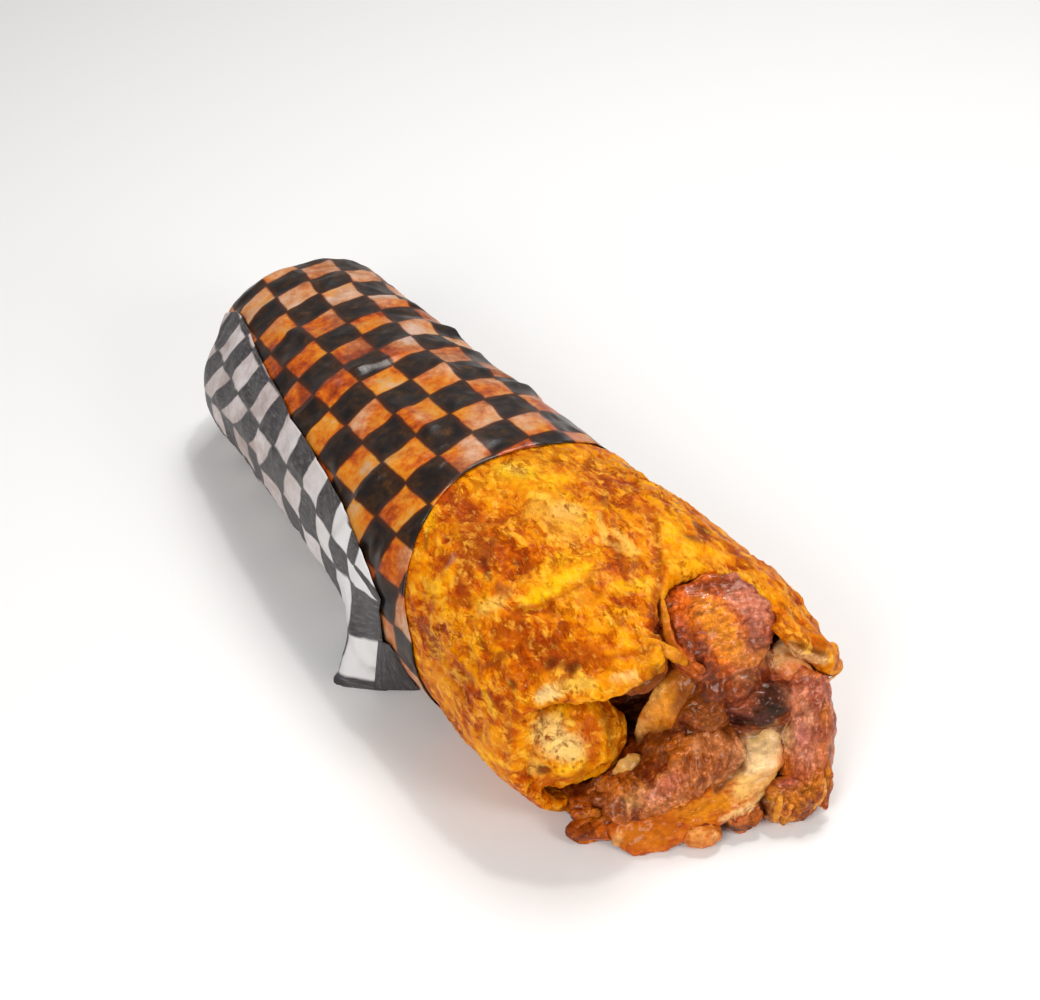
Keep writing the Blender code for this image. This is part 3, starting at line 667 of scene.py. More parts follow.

# %% [markdown]
# ## The tortilla
# A griddled flour tortilla is a limp, bready sheet. Oil and sauce have soaked it amber, its blisters
# are browned and its flakes stand up as pale crumbs. The CAD copy has the right form but flat
# facets, so it is remeshed into small even cells, smoothed until the facets are gone, and then the
# flakes and the overlap of its layers are raised out of the skin. The part under the paper never
# shows, so it is thinned out again.

# %% [markdown]
# ### Stains of the mouth
# At the mouth, sauce, browning and fat run from piece to piece without keeping to their edges. They
# are brushed on as soft streaks between two points in space, each with its own colour, so tortilla,
# meat and sauce take them alike. A few streaks are painted shade in hollows and gaps, and a few are
# painted highlights. Later streaks lie over earlier ones.

# %% Where sauce, browning, painted shade and painted highlights run
# Each stroke: colour, start, end, half width, and how strongly it covers.
STROKES = [
    # The round slice: red-brown ring, orange middle, purple right edge.
    ("D86010", (18, -96, 54), (12, -102, 48), 4.4, 0.9),
    ("D45C12", (12, -104, 46), (16, -111, 40), 3.6, 0.8),
    ("A4503C", (31, -109, 36), (26, -114, 37), 3.6, 0.9),
    ("C8602C", (29, -111, 40), (31, -111, 38), 1.8, 0.8),
    ("C05A48", (13, -101, 49), (12, -104, 46), 1.8, 0.5),
    ("8E300C", (20, -96, 54), (28, -99, 54), 2.2, 0.8),
    ("E0851E", (20, -103, 51), (23, -110, 44), 4.4, 1.0),
    # A painted highlight on the domed middle.
    ("F0A040", (23, -106, 48), (22, -108, 46), 1.6, 0.7),
    ("B8684C", (28, -102, 53), (30, -108, 49), 2.6, 0.9),
    ("B4644C", (30, -109, 48), (27, -113, 43), 2.6, 0.8),
    ("C8742C", (24, -114, 41), (29, -114, 40), 2.4, 0.8),
    ("8A4838", (15, -107, 45), (15, -111, 37), 2.2, 0.85),
    # The reddish lump and the charred meat beside it.
    ("9C4820", (17, -113, 34), (23, -119, 34), 5.6, 1.0),
    # A painted highlight on the sauce of the reddish lump.
    ("C47A4A", (21, -115, 38), (25, -117, 37), 1.8, 0.7),
    ("7A3020", (15, -111, 37), (15, -113, 32), 2.4, 0.8),
    ("B07858", (30, -119, 34), (32, -122, 31), 1.0, 0.8),
    ("7A3A08", (9, -111, 33), (15, -117, 26), 5.0, 0.8),
    ("4A1C04", (6, -112, 27), (8, -114, 25), 1.8, 0.8),
    # The onion strip: pale left edge, orange body, brown lower end.
    ("D9861C", (5, -107, 35), (1, -107, 26), 3.2, 0.8),
    ("EAAC54", (-1, -104, 30), (4, -106, 37), 1.5, 0.9),
    ("7A3A08", (-2, -107, 20), (3, -110, 22), 3.8, 0.95),
    # Painted shade: near black deep in the hollow behind the strip.
    ("1E0600", (0, -99, 19), (4, -96, 24), 5.0, 0.95),
    ("8A4208", (10, -108, 37), (7, -110, 31), 2.4, 0.7),
    # Painted shade in the cavity under the lip, above the strip.
    ("5A2606", (7, -105, 40), (-4, -110, 46), 3.0, 0.8),
    # The cuff: red-brown crest, dark line, cream fold below it.
    ("D4720C", (35, -113, 46), (38, -117, 46), 3.0, 0.6),
    ("B04A06", (39, -119, 45), (43, -121, 43), 2.2, 0.8),
    ("EFBC80", (35, -117.5, 41.5), (41, -122.5, 39), 2.2, 1.0),
    # Painted shade: the dark line in the crease under the fold's top.
    ("4A1E04", (33, -115, 44), (37, -119, 43.6), 0.9, 1.0),
    ("4A1E04", (37, -119, 43.6), (42, -123, 41), 0.9, 1.0),
    ("E8B078", (33, -114, 38), (37, -118, 38), 2.6, 0.8),
    ("C0582C", (33, -117.5, 34), (35, -119.5, 33), 2.4, 0.95),
    ("D0702C", (35, -117, 36), (40, -121, 35), 1.8, 0.8),
    ("D86C48", (38, -119, 36), (38, -119, 36), 1.2, 0.8),
    # The right slice: purple-pink middle, orange margins and foot.
    ("BC6C48", (33, -123, 30), (31, -131, 18), 4.0, 0.7),
    ("AC5E5A", (32, -128, 24), (32, -128, 22), 2.4, 0.6),
    ("D48A64", (35, -126, 29), (34, -128, 26), 1.6, 0.7),
    ("C06018", (29, -124, 22), (27, -128, 13), 2.2, 0.8),
    ("B45C14", (39, -127, 27), (36, -132, 14), 2.4, 0.8),
    ("A84E40", (25, -131, 12.5), (27, -132, 12), 1.8, 0.9),
    ("C8741A", (26, -135, 9), (34, -134, 11), 3.2, 0.8),
    ("D08018", (21, -132, 9), (22, -134, 3), 2.2, 0.8),
    ("3A0A02", (19, -130, 8), (18, -131, 5), 1.6, 0.9),
    ("300E04", (9, -129, 4), (15, -131, 3), 2.2, 0.9),
    # The long strip: orange foot, amber middle, cream end, pale lower edge.
    ("C4680A", (-16, -119, 5), (-8, -124, 6), 3.8, 0.9),
    ("B4560A", (-8, -123, 9), (-4, -124, 8), 2.4, 0.8),
    ("D8820E", (0, -124, 10), (9, -127, 11), 3.0, 0.8),
    ("CC7018", (-3, -123, 10.5), (-1, -123, 11), 1.4, 0.8),
    ("ECB25C", (14, -127, 12), (17, -125, 16), 3.0, 0.9),
    ("EEC58C", (19, -125, 19), (27, -123, 21), 4.2, 1.0),
    ("E0A878", (22, -127, 14), (23, -126, 16), 1.8, 0.8),
    ("D0A458", (22, -121, 21), (24, -121, 21), 1.2, 0.8),
    ("EFC07C", (7, -129.5, 7), (17, -130.5, 9), 1.2, 0.8),
    ("F0B468", (-18, -118, 3), (-17, -119, 7), 1.2, 0.9),
    # The ribbed slice: a painted highlight on its end, pink foot, brown saucy upper side, and along
    # the gap to the long strip a dark line of sauce and painted shade.
    ("AE6434", (9, -120, 25), (14, -124, 21), 4.0, 0.8),
    # Painted highlight on the end.
    ("E2AC90", (15, -122, 22), (15, -123, 21), 1.2, 0.8),
    # Sauce and painted shade along the gap to the long strip.
    ("5A2008", (17, -122, 22), (16, -125, 17), 1.0, 0.9),
    ("5A2008", (16, -125, 17), (8, -125, 13.5), 1.0, 0.9),
    ("D8966A", (6, -118, 24.5), (6, -120, 22), 1.0, 0.8),
    ("E4A050", (-8.5, -117.5, 18.5), (-3.5, -117, 21), 1.0, 0.9),
    ("C88C50", (-13, -118, 14.5), (-9, -120, 16.5), 2.6, 0.9),
    ("BC6444", (-9, -120, 16), (-1, -121, 19), 2.4, 0.8),
    ("9A4A20", (-17, -115, 11), (-15, -117, 10), 2.0, 0.7),
    ("B05A0C", (-1, -114, 23), (4, -116, 24), 3.2, 0.8),
    ("8A420A", (-6, -112, 20), (0, -113, 21), 2.8, 0.8),
    # Sauce below the rolled-in end, and the tip on the left.
    ("BC6410", (-17, -107, 12), (-9, -115, 17), 3.6, 0.7),
    ("6A2606", (-20, -101, 10), (-16, -107, 11), 2.8, 0.8),
    ("C45A06", (-20, -108, 8), (-19, -110, 6), 2.2, 0.7),
    ("B65006", (-27, -109, 6), (-18, -114, 5), 3.8, 0.9),
    ("C06A10", (-22, -110, 8), (-17, -112, 8), 1.8, 0.8),
    ("9A4A14", (-18, -111, 14), (-16, -115, 11), 2.6, 0.8),
    # The lip's torn front: cream on the left, yellow in the middle, brown on the right.
    ("F2CE8A", (-28, -102, 46.5), (-25, -104, 48), 2.2, 1.0),
    ("F0BC48", (-23, -104, 49), (-18, -108, 50), 2.4, 0.9),
    # A painted highlight, cream, low on the lip's front face.
    ("EFC07A", (-12, -110.5, 49.5), (-8, -112, 50), 1.8, 0.8),
    ("C46A10", (-14, -110, 48.5), (-8, -114, 48), 1.8, 0.8),
    ("803A06", (-7, -113, 48), (-2, -113, 50), 2.0, 0.8),
    # The rolled-in end: cream middle, orange-red rim, brown right side.
    ("F2C872", (-31, -97, 33), (-25, -101, 34), 3.6, 1.0),
    ("F6D080", (-25, -102, 29), (-22, -104, 27), 4.2, 1.0),
    ("ECB450", (-31, -98, 28), (-30, -100, 22), 3.2, 0.9),
    ("D8680A", (-17, -101, 34), (-15, -105, 30), 2.4, 0.9),
    ("C04806", (-17, -104, 30), (-17, -107, 23), 2.0, 0.8),
    ("B04406", (-20, -106, 19), (-28, -102, 17), 2.4, 0.8),
    ("9A5208", (-11, -103, 31), (-11, -105, 24), 2.6, 0.8),
    ("3A1204", (-29.5, -102, 22), (-28, -102.5, 22), 1.0, 0.9),
    ("B85A08", (-36, -97, 40), (-36, -100, 27), 1.4, 0.8),
]

# Char of the burnt meat and the sauce that touches it, laid down over the rest.
CHAR_STROKES = [
    ("8A3C22", (19, -116, 32), (24, -120, 32.5), 2.6, 0.8),
    ("4A1A1E", (17, -116, 29), (24, -121, 28), 3.0, 0.95),
    ("2A0C14", (19, -119, 27), (24, -122, 27), 2.2, 0.9),
    ("160507", (25, -121, 32.5), (29, -122.5, 28), 3.0, 1.0),
    ("1E080C", (27, -119, 34), (31, -120, 32), 2.0, 0.9),
    ("B07050", (31, -119, 34.5), (33, -121.5, 31), 1.0, 0.8),
    ("9A4418", (30, -123, 25), (29, -125, 19), 2.6, 0.98),
    ("8A3A14", (20, -120, 24), (27, -122, 23.5), 1.6, 0.95),
]

# Browning and oil on the skin itself, laid down before the streaks of the mouth.
SKIN_STROKES = [
    # Amber and yellow ground.
    ("DA8A04", (1, -36, 62), (14, -36, 61), 7.0, 0.7),
    ("D88406", (24, -40, 58), (34, -42, 53), 6.0, 0.6),
    ("F0BC1C", (0, -36, 62), (4, -41, 62), 3.4, 0.8),
    ("F4C858", (1, -36, 62), (3, -39, 62), 1.5, 0.7),
    ("E49008", (-6, -32, 62), (-10, -36, 61), 3.0, 0.5),
    ("E6A234", (0, -56, 62), (2, -66, 62), 6.0, 0.8),
    ("F2BE62", (3, -60, 63), (6, -62, 62), 2.8, 0.6),
    ("FFC408", (-18, -81, 57), (-11, -80, 59), 3.2, 0.9),
    ("FCBC0C", (-11, -80, 59), (-2, -80, 60), 2.4, 0.9),
    ("F6B010", (-15, -74, 59), (-4, -74, 60), 3.2, 0.6),
    ("DE8004", (-15, -88, 57), (-4, -89, 58), 2.8, 0.7),
    ("E8960A", (-8, -97, 56), (0, -98, 56), 4.4, 0.6),
    ("F8AC08", (2, -90, 59), (8, -91, 58), 2.8, 0.8),
    ("EE9C0A", (20, -90, 58), (24, -88, 58), 4.2, 0.8),
    ("F4AE30", (29, -92, 57), (33, -98, 54), 2.2, 0.7),
    ("F0A010", (-34, -80, 46), (-33, -78, 48), 2.8, 0.8),
    ("F4BC50", (-25, -75, 56), (-29, -74, 54), 2.6, 0.8),
    ("F8B010", (-33, -57, 51), (-34, -54, 50), 2.8, 0.8),
    ("F2A808", (-23, -36, 57), (-25, -40, 56), 2.4, 0.7),
    # Red-brown scorch on the left, running down from the paper.
    ("CC5402", (-17, -32, 60), (-18, -36, 60), 3.4, 0.9),
    ("A83C0C", (-17, -35, 60), (-16, -42, 60), 2.7, 1.0),
    ("A03A0C", (-16, -42, 60), (-20, -54, 59), 3.0, 1.0),
    ("963606", (-20, -54, 59), (-27, -62, 55), 2.8, 1.0),
    ("A44006", (-27, -62, 55), (-29, -66, 53), 2.3, 0.95),
    ("C45A10", (-14, -49, 61), (-17, -58, 60), 2.6, 0.7),
    ("B87860", (-26, -54, 56), (-28, -55, 55), 1.4, 0.7),
    ("8A3418", (-17, -58, 60), (-21, -62, 58), 2.3, 1.0),
    ("6A2010", (-22, -65, 57), (-22.5, -67, 56), 1.3, 0.95),
    ("A04A20", (-22, -71, 56), (-21, -75, 56), 1.7, 0.8),
    ("8A2000", (-15, -67, 59), (-15, -67.5, 59), 1.1, 0.95),
    ("D4680A", (-13, -57, 61), (-12, -55, 61), 2.8, 0.7),
    # Edges of the layers: the rounded sheet behind the lip, and the seam on the right.
    ("BC5C00", (-21, -80.5, 56), (-18, -82.5, 57), 1.0, 0.9),
    ("BC5C00", (-18, -82.5, 57), (-12, -85, 59), 1.0, 0.9),
    ("C06400", (-12, -85, 59), (-6, -85.3, 59), 1.0, 0.9),
    ("C46800", (-6, -85.3, 59), (-1, -86, 59), 1.0, 0.8),
    ("AA4802", (-22, -81, 56), (-25, -83, 54), 1.5, 0.9),
    ("AA4802", (-25, -83, 54), (-25, -89, 53), 1.5, 0.9),
    ("B05004", (-25, -89, 53), (-22, -95, 53), 1.4, 0.8),
    ("A84200", (-26, -83, 54), (-30, -82, 52), 2.1, 0.9),
    ("A85006", (22, -76, 60), (13, -92, 58), 1.2, 0.9),
    ("A44C06", (13, -92, 58), (5, -100, 55), 1.2, 0.9),
    ("7E2C08", (5, -101, 55), (3, -106, 54), 1.2, 0.9),
    ("9C4808", (3, -106, 54), (-2, -109, 53), 1.3, 0.8),
    ("B25606", (11, -84, 59), (8, -85, 59), 2.4, 0.9),
    ("C46C08", (-1, -83, 60), (-4, -84, 60), 1.9, 0.7),
    ("A4560C", (19, -55, 60), (14, -64, 62), 1.3, 0.9),
    ("BC620C", (13, -70, 61), (8, -81, 59), 1.0, 0.8),
    ("8A3A08", (8, -80, 59), (7.5, -80.5, 59), 1.2, 0.9),
    ("F6B84C", (11, -66, 62), (8, -74, 60), 1.2, 0.9),
    ("F6B84C", (8, -74, 60), (12, -81, 59), 1.2, 0.8),
    ("F8BC50", (12, -72, 60), (13, -81, 59), 1.1, 0.9),
    ("9A4204", (-35, -85, 46), (-31, -87, 49), 1.2, 0.9),
    ("9A4204", (-31, -87, 49), (-28, -89, 51), 1.2, 0.9),
    # Scorched rim on the right, and its small dark spots.
    ("B45808", (28, -60, 58), (34, -68, 57), 1.8, 0.6),
    ("B85408", (24, -69, 60), (20, -77, 59), 1.9, 0.8),
    ("704008", (34, -42, 53), (35, -43, 52), 1.5, 0.9),
    ("704008", (33, -59, 57), (33.5, -60, 56.5), 1.0, 0.9),
    ("824408", (32, -68, 58), (33, -70, 57), 1.3, 0.9),
    ("783C06", (34, -77, 56), (35, -79, 55), 2.3, 0.9),
    ("843E08", (29, -84, 58), (28, -83, 58), 2.1, 0.9),
    # Left flank, and the burnt spots above the lip.
    ("A04C06", (-38, -61, 41), (-38, -67, 38), 2.8, 0.9),
    ("A44E06", (-38, -74, 36), (-37, -82, 41), 2.0, 0.8),
    ("F0A41C", (-37, -88, 40), (-36, -93, 38), 2.0, 0.8),
    ("A44E08", (-33, -63, 52), (-30, -69, 53), 1.4, 0.8),
    ("844808", (-27, -41, 55), (-29, -44, 54), 1.0, 0.8),
    ("8A3204", (-32, -94, 46), (-32, -95, 46), 1.5, 0.9),
    ("AC4608", (-25, -97, 51), (-14, -102, 53), 3.0, 0.8),
    ("B45404", (-15, -104, 53), (-4, -108, 53), 1.2, 0.7),
    ("70180A", (-23, -98, 51), (-22, -98, 51.5), 1.5, 0.95),
    ("862A0A", (-20, -99, 52), (-20, -99.5, 52), 1.1, 0.9),
    ("70180A", (-19, -102, 51), (-18, -102, 51.5), 1.5, 0.95),
]


# %% Brushing the strokes on
def places_of(piece):
    """All points of a piece in millimetres, as rows of an array."""
    flat = np.empty(len(piece.data.vertices) * 3, dtype=np.float32)
    piece.data.vertices.foreach_get("co", flat)
    return flat.reshape(-1, 3).astype(float) / MM


def distance_to(points, start, end):
    """Distance from each row of an array of points to the stretch between two places."""
    start = np.array(start, float)
    line = np.subtract(end, start).astype(float)
    share = np.clip((points - start) @ line / max(line @ line, 1e-6), 0, 1)
    return np.linalg.norm(points - start - share[:, None] * line, axis=1)


def stains_and_painted_light(piece, strokes=STROKES):
    """Brush the strokes on to a piece as a colour with its strength in the fourth channel."""
    at = places_of(piece)
    colour = np.zeros((len(at), 3))
    cover = np.zeros(len(at))
    for code, start, end, reach, strength in strokes:
        weight = strength * np.exp(-(distance_to(at, start, end) / reach) ** 2.6)
        total = weight + cover * (1 - weight)
        part = (weight / np.maximum(total, 1e-6))[:, None]
        colour += (np.array(linear(code)[:3]) - colour) * part
        cover = total
    layer = piece.data.attributes.new("stains_and_painted_light", "FLOAT_COLOR", "POINT")
    layer.data.foreach_set("color", np.column_stack([colour, cover]).astype(np.float32).ravel())


def stained(tree, colour, ragged, strength=0.85, contrast=0.35, tear=1.3):
    """Lay the brushed stains, painted shade and painted highlights over a colour, with edges torn by a
    noise value.
    """
    brushed = add(tree, "Attribute", attribute_name="stains_and_painted_light")
    cover = add(tree, "Attribute", out="Alpha", attribute_name="stains_and_painted_light")
    edge = add(tree, "Math", {0: ragged, 1: -0.5}, operation="ADD")
    edge = add(tree, "Math", {0: edge, 1: tear, 2: cover}, operation="MULTIPLY_ADD")
    mask = add(tree, "MapRange", {
        0: edge, 1: 0.10, 2: 0.85, 4: strength}, interpolation_type="SMOOTHSTEP")
    shade = add(tree, "MapRange", {
        0: ragged, 1: 0.34, 2: 0.68, 3: 1 - contrast, 4: 1 + contrast * 0.7})
    toned = add(tree, "VectorMath", {0: brushed, "Scale": shade}, operation="SCALE")
    return add(tree, "Mix", {0: mask, 6: colour, 7: toned}, out=2, data_type="RGBA")


# %% Tortilla mesh
flatbread = copy_of("tortilla", "rolled_tortilla")
# The rolled-in end runs into the wall on the left, so soft lumps of dough bridge the two.
BRIDGES = [((-31, -96.5, 30), (5.5, 5.0, 12)), ((-27, -98, 18), (7, 5, 5))]
for centre, size in BRIDGES:
    merge([ball(centre, size, 28, 18)], flatbread)
modify(flatbread, "REMESH", mode="VOXEL", voxel_size=0.8 * MM)
HIDDEN_BREAD = -14     # from this place on the paper covers it all round
hidden = flatbread.vertex_groups.new(name="hidden")
under_paper = [vert.index for vert in flatbread.data.vertices if vert.co.y > HIDDEN_BREAD * MM]
hidden.add(under_paper, 1.0, "REPLACE")
modify(flatbread, "DECIMATE", ratio=0.42, vertex_group="hidden", vertex_group_factor=1000.0)
modify(flatbread, "SMOOTH", factor=0.5, iterations=14)
flatbread.vertex_groups.clear()
print("tortilla", len(flatbread.data.polygons), "faces")

# %% [markdown]
# ### Marks of the griddle
# Each mark is a soft streak between two points of the skin, of one of four kinds: browned patches,
# some of them painted shade low on the flanks, egg-yellow pools of oil, pale dry flakes and burnt
# specks. Each kind becomes one channel of a colour that is painted on the mesh, so a single
# attribute takes all four to the finish.

# %% Where the marks are
# Each mark: its kind, start, end, half width and strength.
MARKS = [
    ("brown", (-18, -34, 60), (-24, -52, 57), 5.0, 1.0),
    ("brown", (-24, -52, 57), (-29, -64, 54), 4.0, 1.0),
    ("brown", (-21, -62, 57), (-22, -74, 56), 2.6, 0.7),
    ("dark", (-21, -61, 58), (-22, -63, 58), 1.8, 0.9),
    ("dark", (-15, -68, 59), (-15, -68, 59), 1.3, 0.9),
    ("brown", (-22, -74, 56), (-15, -72, 58), 2.6, 0.8),
    ("yellow", (-20, -69, 58), (-6, -84, 59), 4.6, 1.0),
    ("pale", (3, -62, 63), (6, -57, 63), 8.0, 0.9),
    ("yellow", (0, -33, 62), (-2, -40, 62), 7.0, 1.0),
    ("yellow", (-12, -54, 62), (12, -44, 62), 7.0, 0.8),
    ("yellow", (-35, -62, 50), (-31, -46, 52), 4.5, 0.9),
    ("pale", (-25, -73, 55), (-31, -71, 52), 3.6, 0.9),
    ("brown", (-39, -58, 37), (-36, -69, 47), 2.5, 0.8),
    ("brown", (-36, -69, 47), (-27, -81, 53), 2.5, 0.8),
    ("brown", (-27, -81, 53), (-14, -88, 57), 2.5, 0.7),
    ("brown", (-14, -88, 57), (7, -93, 58), 2.0, 0.5),
    ("dark", (-23, -98, 51), (-22, -98, 51), 2.6, 0.9),
    ("dark", (-19, -102, 51), (-18, -102, 51), 2.4, 0.9),
    ("brown", (-27, -92, 51), (-14, -101, 54), 3.4, 0.8),
    ("dark", (-32, -94, 46), (-32, -95, 46), 1.6, 0.8),
    ("brown", (-24, -38, 57), (-33, -42, 50), 2.0, 0.7),
    ("brown", (25, -70, 60), (17, -86, 58), 1.8, 0.9),
    ("brown", (17, -86, 58), (9, -98, 56), 1.8, 0.9),
    ("brown", (9, -98, 56), (1, -107, 54), 2.0, 0.9),
    ("brown", (30, -82, 58), (31, -84, 57), 3.6, 0.9),
    ("brown", (34, -108, 50), (36, -110, 49), 2.6, 0.9),
    ("brown", (9, -80, 59), (7, -82, 59), 2.4, 0.8),
    ("brown", (31, -34, 55), (35, -38, 51), 4.0, 0.7),
    ("brown", (28, -60, 58), (30, -62, 57), 3.0, 0.7),
    ("brown", (38, -68, 53), (41, -76, 50), 4.0, 0.9),
    ("brown", (22, -53, 60), (10, -68, 62), 2.0, 0.7),
    ("yellow", (22, -91, 57), (28, -102, 54), 4.0, 0.9),
    ("yellow", (37, -106, 49), (38, -104, 49), 3.0, 0.7),
    ("brown", (-38, -96, 27), (-36, -92, 40), 3.4, 0.9),
    ("brown", (-39, -84, 30), (-39, -76, 38), 3.0, 0.7),
    ("yellow", (-34, -101, 40), (-33, -99, 43), 3.0, 0.7),
    ("pale", (-29, -103, 46), (-15, -110, 48), 3.2, 1.0),
    ("yellow", (-15, -110, 48), (-3, -112, 51), 3.2, 1.0),
    ("pale", (-27, -102, 31), (-21, -103, 27), 6.0, 1.0),
    ("pale", (-22, -101, 34), (-24, -102, 24), 4.5, 0.8),
    ("brown", (-15, -103, 33), (-12, -105, 20), 3.8, 0.9),
    ("brown", (-33, -100, 14), (-16, -105, 11), 4.5, 0.9),
    ("brown", (-35, -98, 38), (-36, -100, 26), 2.4, 0.9),
    ("dark", (-30, -102, 21), (-28, -103, 21), 1.6, 0.9),
    ("brown", (-18, -101, 36), (-11, -100, 33), 2.6, 0.7),
    ("pale", (35, -119, 41), (41, -120, 39), 3.0, 1.0),
    ("brown", (40, -120, 47), (44, -118, 44), 3.4, 0.7),
    # Painted shade: the lower flanks, left and right, are browned darker.
    ("brown", (-40, -62, 20), (-39, -80, 12), 5.0, 0.7),
    ("brown", (46, -60, 30), (50, -85, 20), 6.0, 0.7),
    ("brown", (44, -45, 45), (47, -66, 40), 3.0, 0.6),
]
KINDS = ("brown", "yellow", "pale", "dark")


def mark_strength(points, kind):
    """How strongly the marks of one kind show at an array of points of the skin."""
    total = np.zeros(len(points))
    for name, start, end, reach, strength in MARKS:
        if name != kind:
            continue
        total += strength * np.exp(-(distance_to(points, start, end) / reach) ** 2)
    return np.minimum(total, 1.0)


# %% [markdown]
# ### Flakes and overlap
# The skin is raised in four sizes of noise: broad swellings, soft folds, flakes of two to three
# millimetres and crumbs. The noise is read at places that drift a little, so nothing lies in rows.
# Where the sheet laps over itself, one side of a seam stands a layer higher.

# %% Raise the flakes and the overlap, and paint the marks
SEAM = [Vector(place) for place in (
    (28, -60, 58), (25, -70, 60), (17, -86, 58), (9, -98, 56), (1, -108, 54))]
SEAM_STEP = 1.0        # the overlapping layer's thickness at the seam
SEAM_HEIGHT = 40       # the seam is seen above this height only


def seam_side(point):
    """Signed distance to the seam across the roll: positive on the overlapping side."""
    best = (1e9, 0.0)
    for start, end in zip(SEAM, SEAM[1:]):
        line = end - start
        share = min(max((point - start).dot(line) / line.length_squared, 0.0), 1.0)
        offset = point - (start + line * share)
        side = line.cross(offset).z
        best = min(best, (offset.length, math.copysign(offset.length, side)))
    return best[1]


ALL_PAPER = -18        # no bread is bare beyond this place


def uncovered(point):
    """1 where the tortilla is bare and 0 from the paper's front edge on."""
    if point.y > ALL_PAPER:
        return 0.0
    left, right, height = outline(point.y)
    turn = math.degrees(math.atan2(point.z - height / 2, point.x - (left + right) / 2))
    if turn < -135:
        turn += 360
    front = through(FRONT_EDGE, turn)
    return smooth_step(front - 1.0, front - 5.0, point.y)


def bread_height(point, normal):
    """Relief of the flaky skin in millimetres."""
    bare = uncovered(point)
    if bare == 0:
        return 0.0
    drift = Vector((noise.noise(point * 0.06), noise.noise(point * 0.06 + Vector((5, 5, 5))), 0)) * 6
    swirl = point + drift
    swellings = noise.noise(swirl * 0.10) * 0.8
    folds = abs(noise.noise(Vector((swirl.x * 0.16, swirl.y * 0.11, swirl.z * 0.16)))) * -2.0
    drawn = Vector((swirl.x * 0.42, swirl.y * 0.30, swirl.z * 0.42))
    flaky = abs(noise.noise(drawn + Vector((9, 2, 4)))) * -0.8
    crumbs = noise.noise(point * 0.8) * 0.24
    side = seam_side(point)
    step = 0.0
    if side > 0 and point.z > SEAM_HEIGHT:
        step = SEAM_STEP * smooth_step(-0.4, 0.8, side) * (1 - smooth_step(3, 16, side))
    return bare * (swellings + 0.6 + folds + flaky + crumbs + step)


at = places_of(flatbread)
strengths = np.stack([mark_strength(at, kind) for kind in KINDS], axis=1)
strengths[at[:, 1] > HIDDEN_BREAD - 2] = 0
tint = flatbread.data.attributes.new("marks", "FLOAT_COLOR", "POINT")
tint.data.foreach_set("color", strengths.astype(np.float32).ravel())
stains_and_painted_light(flatbread, SKIN_STROKES + STROKES)
sculpt(flatbread, bread_height)
bpy.ops.object.shade_smooth()
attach(flatbread, "root")
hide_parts("tortilla")
print("tortilla marked with", len(MARKS), "marks and", len(SKIN_STROKES + STROKES), "strokes")

# %% [markdown]
# ### Griddled flatbread as a finish
# Baked wheat dough has no single colour: its starch browns in flakes of one to three millimetres.
# Broad noise gives the patches, cells of a Voronoi pattern give single flakes a tone of their own,
# and fine noise crumbles them. The finer ones are read at a bent and stretched place, so the flakes
# are longer along the roll than across it and none repeats.

# %% Griddled tortilla: its patterns
griddled, tree = new_material("griddled_wheat_tortilla")
place = add(tree, "TexCoord", out="Object")
bend = add(tree, "TexNoise", {"Vector": place, "Scale": 140.0, "Detail": 2.0}, out="Color")
bent = add(tree, "VectorMath", {0: bend, "Scale": 0.004}, operation="SCALE")
bent = add(tree, "VectorMath", {0: place, 1: bent}, operation="ADD")
stretched = add(tree, "Mapping", {"Vector": bent, "Rotation": (0, 0, 0.6), "Scale": (1.0, 0.5, 1.0)})
broad = add(tree, "TexNoise", {
    "Vector": place, "Scale": 80.0, "Detail": 4.0, "Roughness": 0.6, "Distortion": 0.3})
flecks = add(tree, "TexNoise", {"Vector": stretched, "Scale": 380.0, "Detail": 5.0, "Roughness": 0.72})
plates = add(tree, "TexVoronoi", {"Vector": stretched, "Scale": 430.0}, out="Color")
plate = add(tree, "SeparateColor", {0: plates}, out="Red")
cracks = add(tree, "TexVoronoi", {
    "Vector": stretched, "Scale": 150.0}, feature="DISTANCE_TO_EDGE")
crack = add(tree, "MapRange", {0: cracks, 1: 0.0, 2: 0.16, 3: -0.06, 4: 0.01})
relief = add(tree, "Attribute", out="Fac", attribute_name="relief")
# Painted light and shade: crests of the relief lighter, its folds darker.
relief_light_and_shade = add(tree, "MapRange", {0: relief, 1: -0.6, 2: 1.0, 3: -0.01, 4: 0.17})
marks = add(tree, "Attribute", attribute_name="marks")
burnt = add(tree, "Attribute", out="Alpha", attribute_name="marks")
# The brown channel also carries the painted shade of the lower flanks.
brown = add(tree, "SeparateColor", {0: marks}, out="Red")
yellow = add(tree, "SeparateColor", {0: marks}, out="Green")
flake = add(tree, "SeparateColor", {0: marks}, out="Blue")
print("patterns of the bread:", len(tree.nodes), "nodes")

# %% [markdown]
# The patterns, the painted marks and painted light and shade of the relief, lighter on the crests and
# darker in the folds, are summed to one tone, which two colour ramps turn into bread: scorched brown
# over amber to orange below, egg yellow to dry cream above. Because the marks only push the sum up
# or down, their edges stay ragged, as on real bread.

